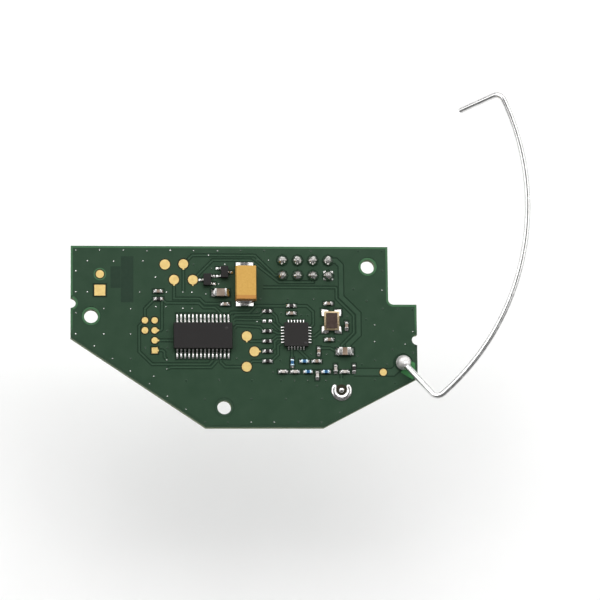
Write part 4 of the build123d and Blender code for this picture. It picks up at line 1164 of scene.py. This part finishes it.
# %% The horseshoe
BEND = 1.3
BEAD = 0.46
GAP = 128
FLATTEN = 0.75
NEAR_SIDE_SWELL = 0.16
bead = bmesh.new()
first, last = heading(90 + GAP / 2), heading(90 - GAP / 2)
start_ring = open_round(bead, BEAD, core + first * BEND, UP.cross(first))
spun = bmesh.ops.spin(
    bead, geom=start_ring, cent=core, axis=UP, angle=math.radians(360 - GAP), steps=36,
    use_merge=False,
)
end_ring = only(BMEdge, spun["geom_last"])
round_nose(bead, end_ring, core + last * BEND, UP.cross(last), BEAD)
round_nose(bead, start_ring, core + first * BEND, -UP.cross(first), BEAD)
for vert in bead.verts:
    away = (vert.co - core).xy
    swell = 1 - NEAR_SIDE_SWELL * away.normalized().y
    away = away.normalized() * (BEND + (away.length - BEND) * swell)
    vert.co = (core.x + away.x, core.y + away.y, core.z + (vert.co.z - core.z) * FLATTEN)
bmesh.ops.recalc_face_normals(bead, faces=bead.faces)
finish_piece("screen_joint", bead, [solder], ["coax_shield_solder"], sharp=80)

# %% The dome in the middle
profile = [(0.5, 0.0), (0.48, 0.13), (0.4, 0.26), (0.27, 0.36), (0.12, 0.42), (0.0, 0.43)]
dome = bmesh.new()
uneven(spin_profile(dome, core, profile, 20), core, 0.05)
bmesh.ops.recalc_face_normals(dome, faces=dome.faces)
finish_piece("core_joint", dome, [solder], ["coax_core_solder"], sharp=80)

# %% [markdown]
# ## The antenna
#
# A quarter-wave antenna is only a wire of the right length. Here it goes up out of its hole,
# slopes out past the corner of the board, swings round in a shallow bow and ends in a short
# tip. A smooth curve through a few points could stand for it, but a bent wire is straight
# between its bends, and the eye knows that. So it comes from the same bender as the chip legs,
# with the wide bow as one more arc between two tight ones. Each bend of the plan is given as a
# level distance, a heading and a rise from the one before.

# %% Plan the antenna's bends
WIRE = 1.0
TIGHT = 1.3
BOW_HEIGHT = 8.6


def plan_step(start, length, angle, rise):
    """The point a level distance, a heading and a rise away from another."""
    return start + heading(angle) * length + UP * rise


hole = Vector((51.4, -7.75, 0.3))
knee = Vector((51.4, -7.75, 2.35))
first_bend = plan_step(knee, 8.27, -52.4, 3.75)
second_bend = plan_step(first_bend, 51.5, 77.9, 4.5)
tip = plan_step(second_bend, 6.33, 197.5, -5.0)
print("bends at", [[round(v, 1) for v in bend] for bend in (knee, first_bend, second_bend)])

# %% The bow between the tight bends
chord = second_bend - first_bend
along = chord.normalized()
outward = Vector((chord.y, -chord.x, 0)).normalized()
swing = 2 * math.atan(2 * BOW_HEIGHT / chord.length)
leave = along * math.cos(swing) + outward * math.sin(swing)
enter = along * math.cos(swing) - outward * math.sin(swing)
bow_start = first_bend + leave * TIGHT
bow_end = second_bend - enter * TIGHT
bow_setback = (bow_end - bow_start).length / 2 / math.cos(swing)
bow_corner = bow_start + leave * bow_setback
print("the bow turns by", round(math.degrees(2 * swing), 1), "degrees")

# %% Bend the antenna
wire = bmesh.new()
ring = open_round(wire, WIRE / 2, hole, UP, sides=24)
route = [hole, knee, first_bend, bow_corner, second_bend, tip]
bend_stock(wire, ring, route, [(0.7, 8), (TIGHT, 16), (bow_setback, 64), (TIGHT, 16)])
bmesh.ops.recalc_face_normals(wire, faces=wire.faces)
wire_box = corners([vert.co for vert in wire.verts])
for name, box in (("wire box", wire_box), ("its solid's", node_box("antenna_wire"))):
    print(name, [[round(v, 2) for v in corner] for corner in box])
finish_piece("antenna", wire, [wire_tin], ["antenna_wire"], sharp=50)

# %% [markdown]
# ## The solder that holds the antenna
#
# The wire's hole takes so much solder that it sets as a full dome, and some of it is drawn
# along the wire. A ball sunk into the board would meet it in a sharp line, and the wire would
# come out of a bare slope. So the dome is spun from a profile with a foot on the land. Then
# the points nearest to the wire are lifted, the more the higher they stand.

# %% The dome round the wire
CLIMB = 0.65
profile = [
    (1.24, 0.0), (1.24, 0.05), (1.15, 0.09), (1.15, 0.25), (1.11, 0.5), (1.02, 0.78),
    (0.87, 1.03), (0.64, 1.22), (0.38, 1.33), (0.0, 1.37),
]
base = Vector((hole.x + 0.1, hole.y + 0.1, board_top))
ball = bmesh.new()
uneven(spin_profile(ball, base, profile, 40), base, 0.02)
slope = first_bend - knee
climbed = hole + Vector((slope.x, slope.y, 0)).normalized() * 0.55
for vert in ball.verts:
    near = 1 - min(1.0, (vert.co - climbed).xy.length) ** 2
    vert.co.z += CLIMB * near ** 2 * min(1.0, vert.co.z - board_top)
bmesh.ops.recalc_face_normals(ball, faces=ball.faces)
finish_piece("antenna_joint", ball, [dull_solder], ["antenna_solder"], sharp=80)

# %% [markdown]
# ## Floor and light
#
# In the picture the module hangs free above its pale background: the holes are white, and the
# soft shadow lies well below the board. It could lie flat on its table, but then every hole
# would be grey. So the floor is some centimetres under the pins. One wide softbox stands at
# the far side, because the solder in the picture is bright towards the top of the frame and
# dark below. A weaker one stands at each side, and the dim room around them keeps the rest
# from going black. All three stand far off, so the floor is evenly lit.

# %% Floor
DROP = 28 * MM
floor_shape = bmesh.new()
bmesh.ops.create_grid(floor_shape, x_segments=1, y_segments=1, size=4.0)
bmesh.ops.translate(floor_shape, verts=floor_shape.verts, vec=(0, 0, cad_low[2] - DROP))
floor_mesh = bpy.data.meshes.new("floor")
floor_shape.to_mesh(floor_mesh)
floor_shape.free()
floor_finish = speckled("table", (0.93, 0.93, 0.925), (0.95, 0.95, 0.945), 20.0, (0.7, 0.8))
floor_mesh.materials.append(floor_finish)
floor = bpy.data.objects.new("floor", floor_mesh)
bpy.context.scene.collection.objects.link(floor)
print("floor at, mm:", round((cad_low[2] - DROP) / MM, 1))

# %% Lights
def softbox(name, place, aim, size, power):
    """A rectangular soft light that faces a point; sizes in metres."""
    light = bpy.data.lights.new(name, "AREA")
    light.shape = "RECTANGLE"
    light.size, light.size_y = size
    light.energy = power
    lamp = bpy.data.objects.new(name, light)
    lamp.location = place
    lamp.rotation_euler = (Vector(aim) - Vector(place)).to_track_quat("-Z", "Y").to_euler()
    bpy.context.scene.collection.objects.link(lamp)
    print(name, power, "W")


module = (0.03, 0.0, 0.0)
softbox("far softbox", (0.03, 0.98, 1.02), module, (2.4, 1.2), 27.0)
softbox("left softbox", (-1.03, 0.2, 0.92), module, (1.0, 1.2), 7.2)
softbox("right softbox", (1.09, 0.2, 0.92), module, (1.0, 1.2), 6.2)

# %% The dim room
ROOM_LIGHT = 0.2
room = bpy.data.worlds.new("studio")
room.use_nodes = True
room.node_tree.nodes["Background"].inputs["Color"].default_value = (1, 1, 1, 1)
room.node_tree.nodes["Background"].inputs["Strength"].default_value = ROOM_LIGHT
bpy.context.scene.world = room
bpy.context.scene.view_settings.view_transform = "Standard"
print("room light", ROOM_LIGHT)

# %% [markdown]
# ## The camera
#
# The picture was taken from almost straight above with a long lens. A camera straight above
# would be simpler, but the walls of the tall parts would vanish. The tilt was found by matching
# the corners of the board and the tops of the tall parts: the camera stands 10 degrees towards
# the near side and 5 degrees to the left. Its lens is given as a focal length in pixels of the
# picture, which is what such a match finds.

# %% Place the camera
TILT_X, TILT_Y, TILT_Z = -9.80, 4.55, 0.60
DISTANCE = 511.54
PICTURE_WIDTH = 600
FOCAL_PIXELS = 3096.34
turn = (
    Matrix.Rotation(math.radians(TILT_Z), 3, "Z")
    @ Matrix.Rotation(math.radians(TILT_X), 3, "X")
    @ Matrix.Rotation(math.radians(TILT_Y), 3, "Y")
).transposed()
aim = Vector((34.452, 2.777, board_top))
lens = bpy.data.cameras.new("camera")
lens.sensor_width = 36
lens.lens = lens.sensor_width * FOCAL_PIXELS / PICTURE_WIDTH
lens.clip_start = 0.01
camera = bpy.data.objects.new("camera", lens)
camera.location = (aim + turn @ Vector((0, 0, DISTANCE))) * MM
camera.rotation_euler = turn.to_euler()
bpy.context.scene.collection.objects.link(camera)
bpy.context.scene.camera = camera
print("camera at, m:", [round(v, 3) for v in camera.location], "lens", round(lens.lens, 1))
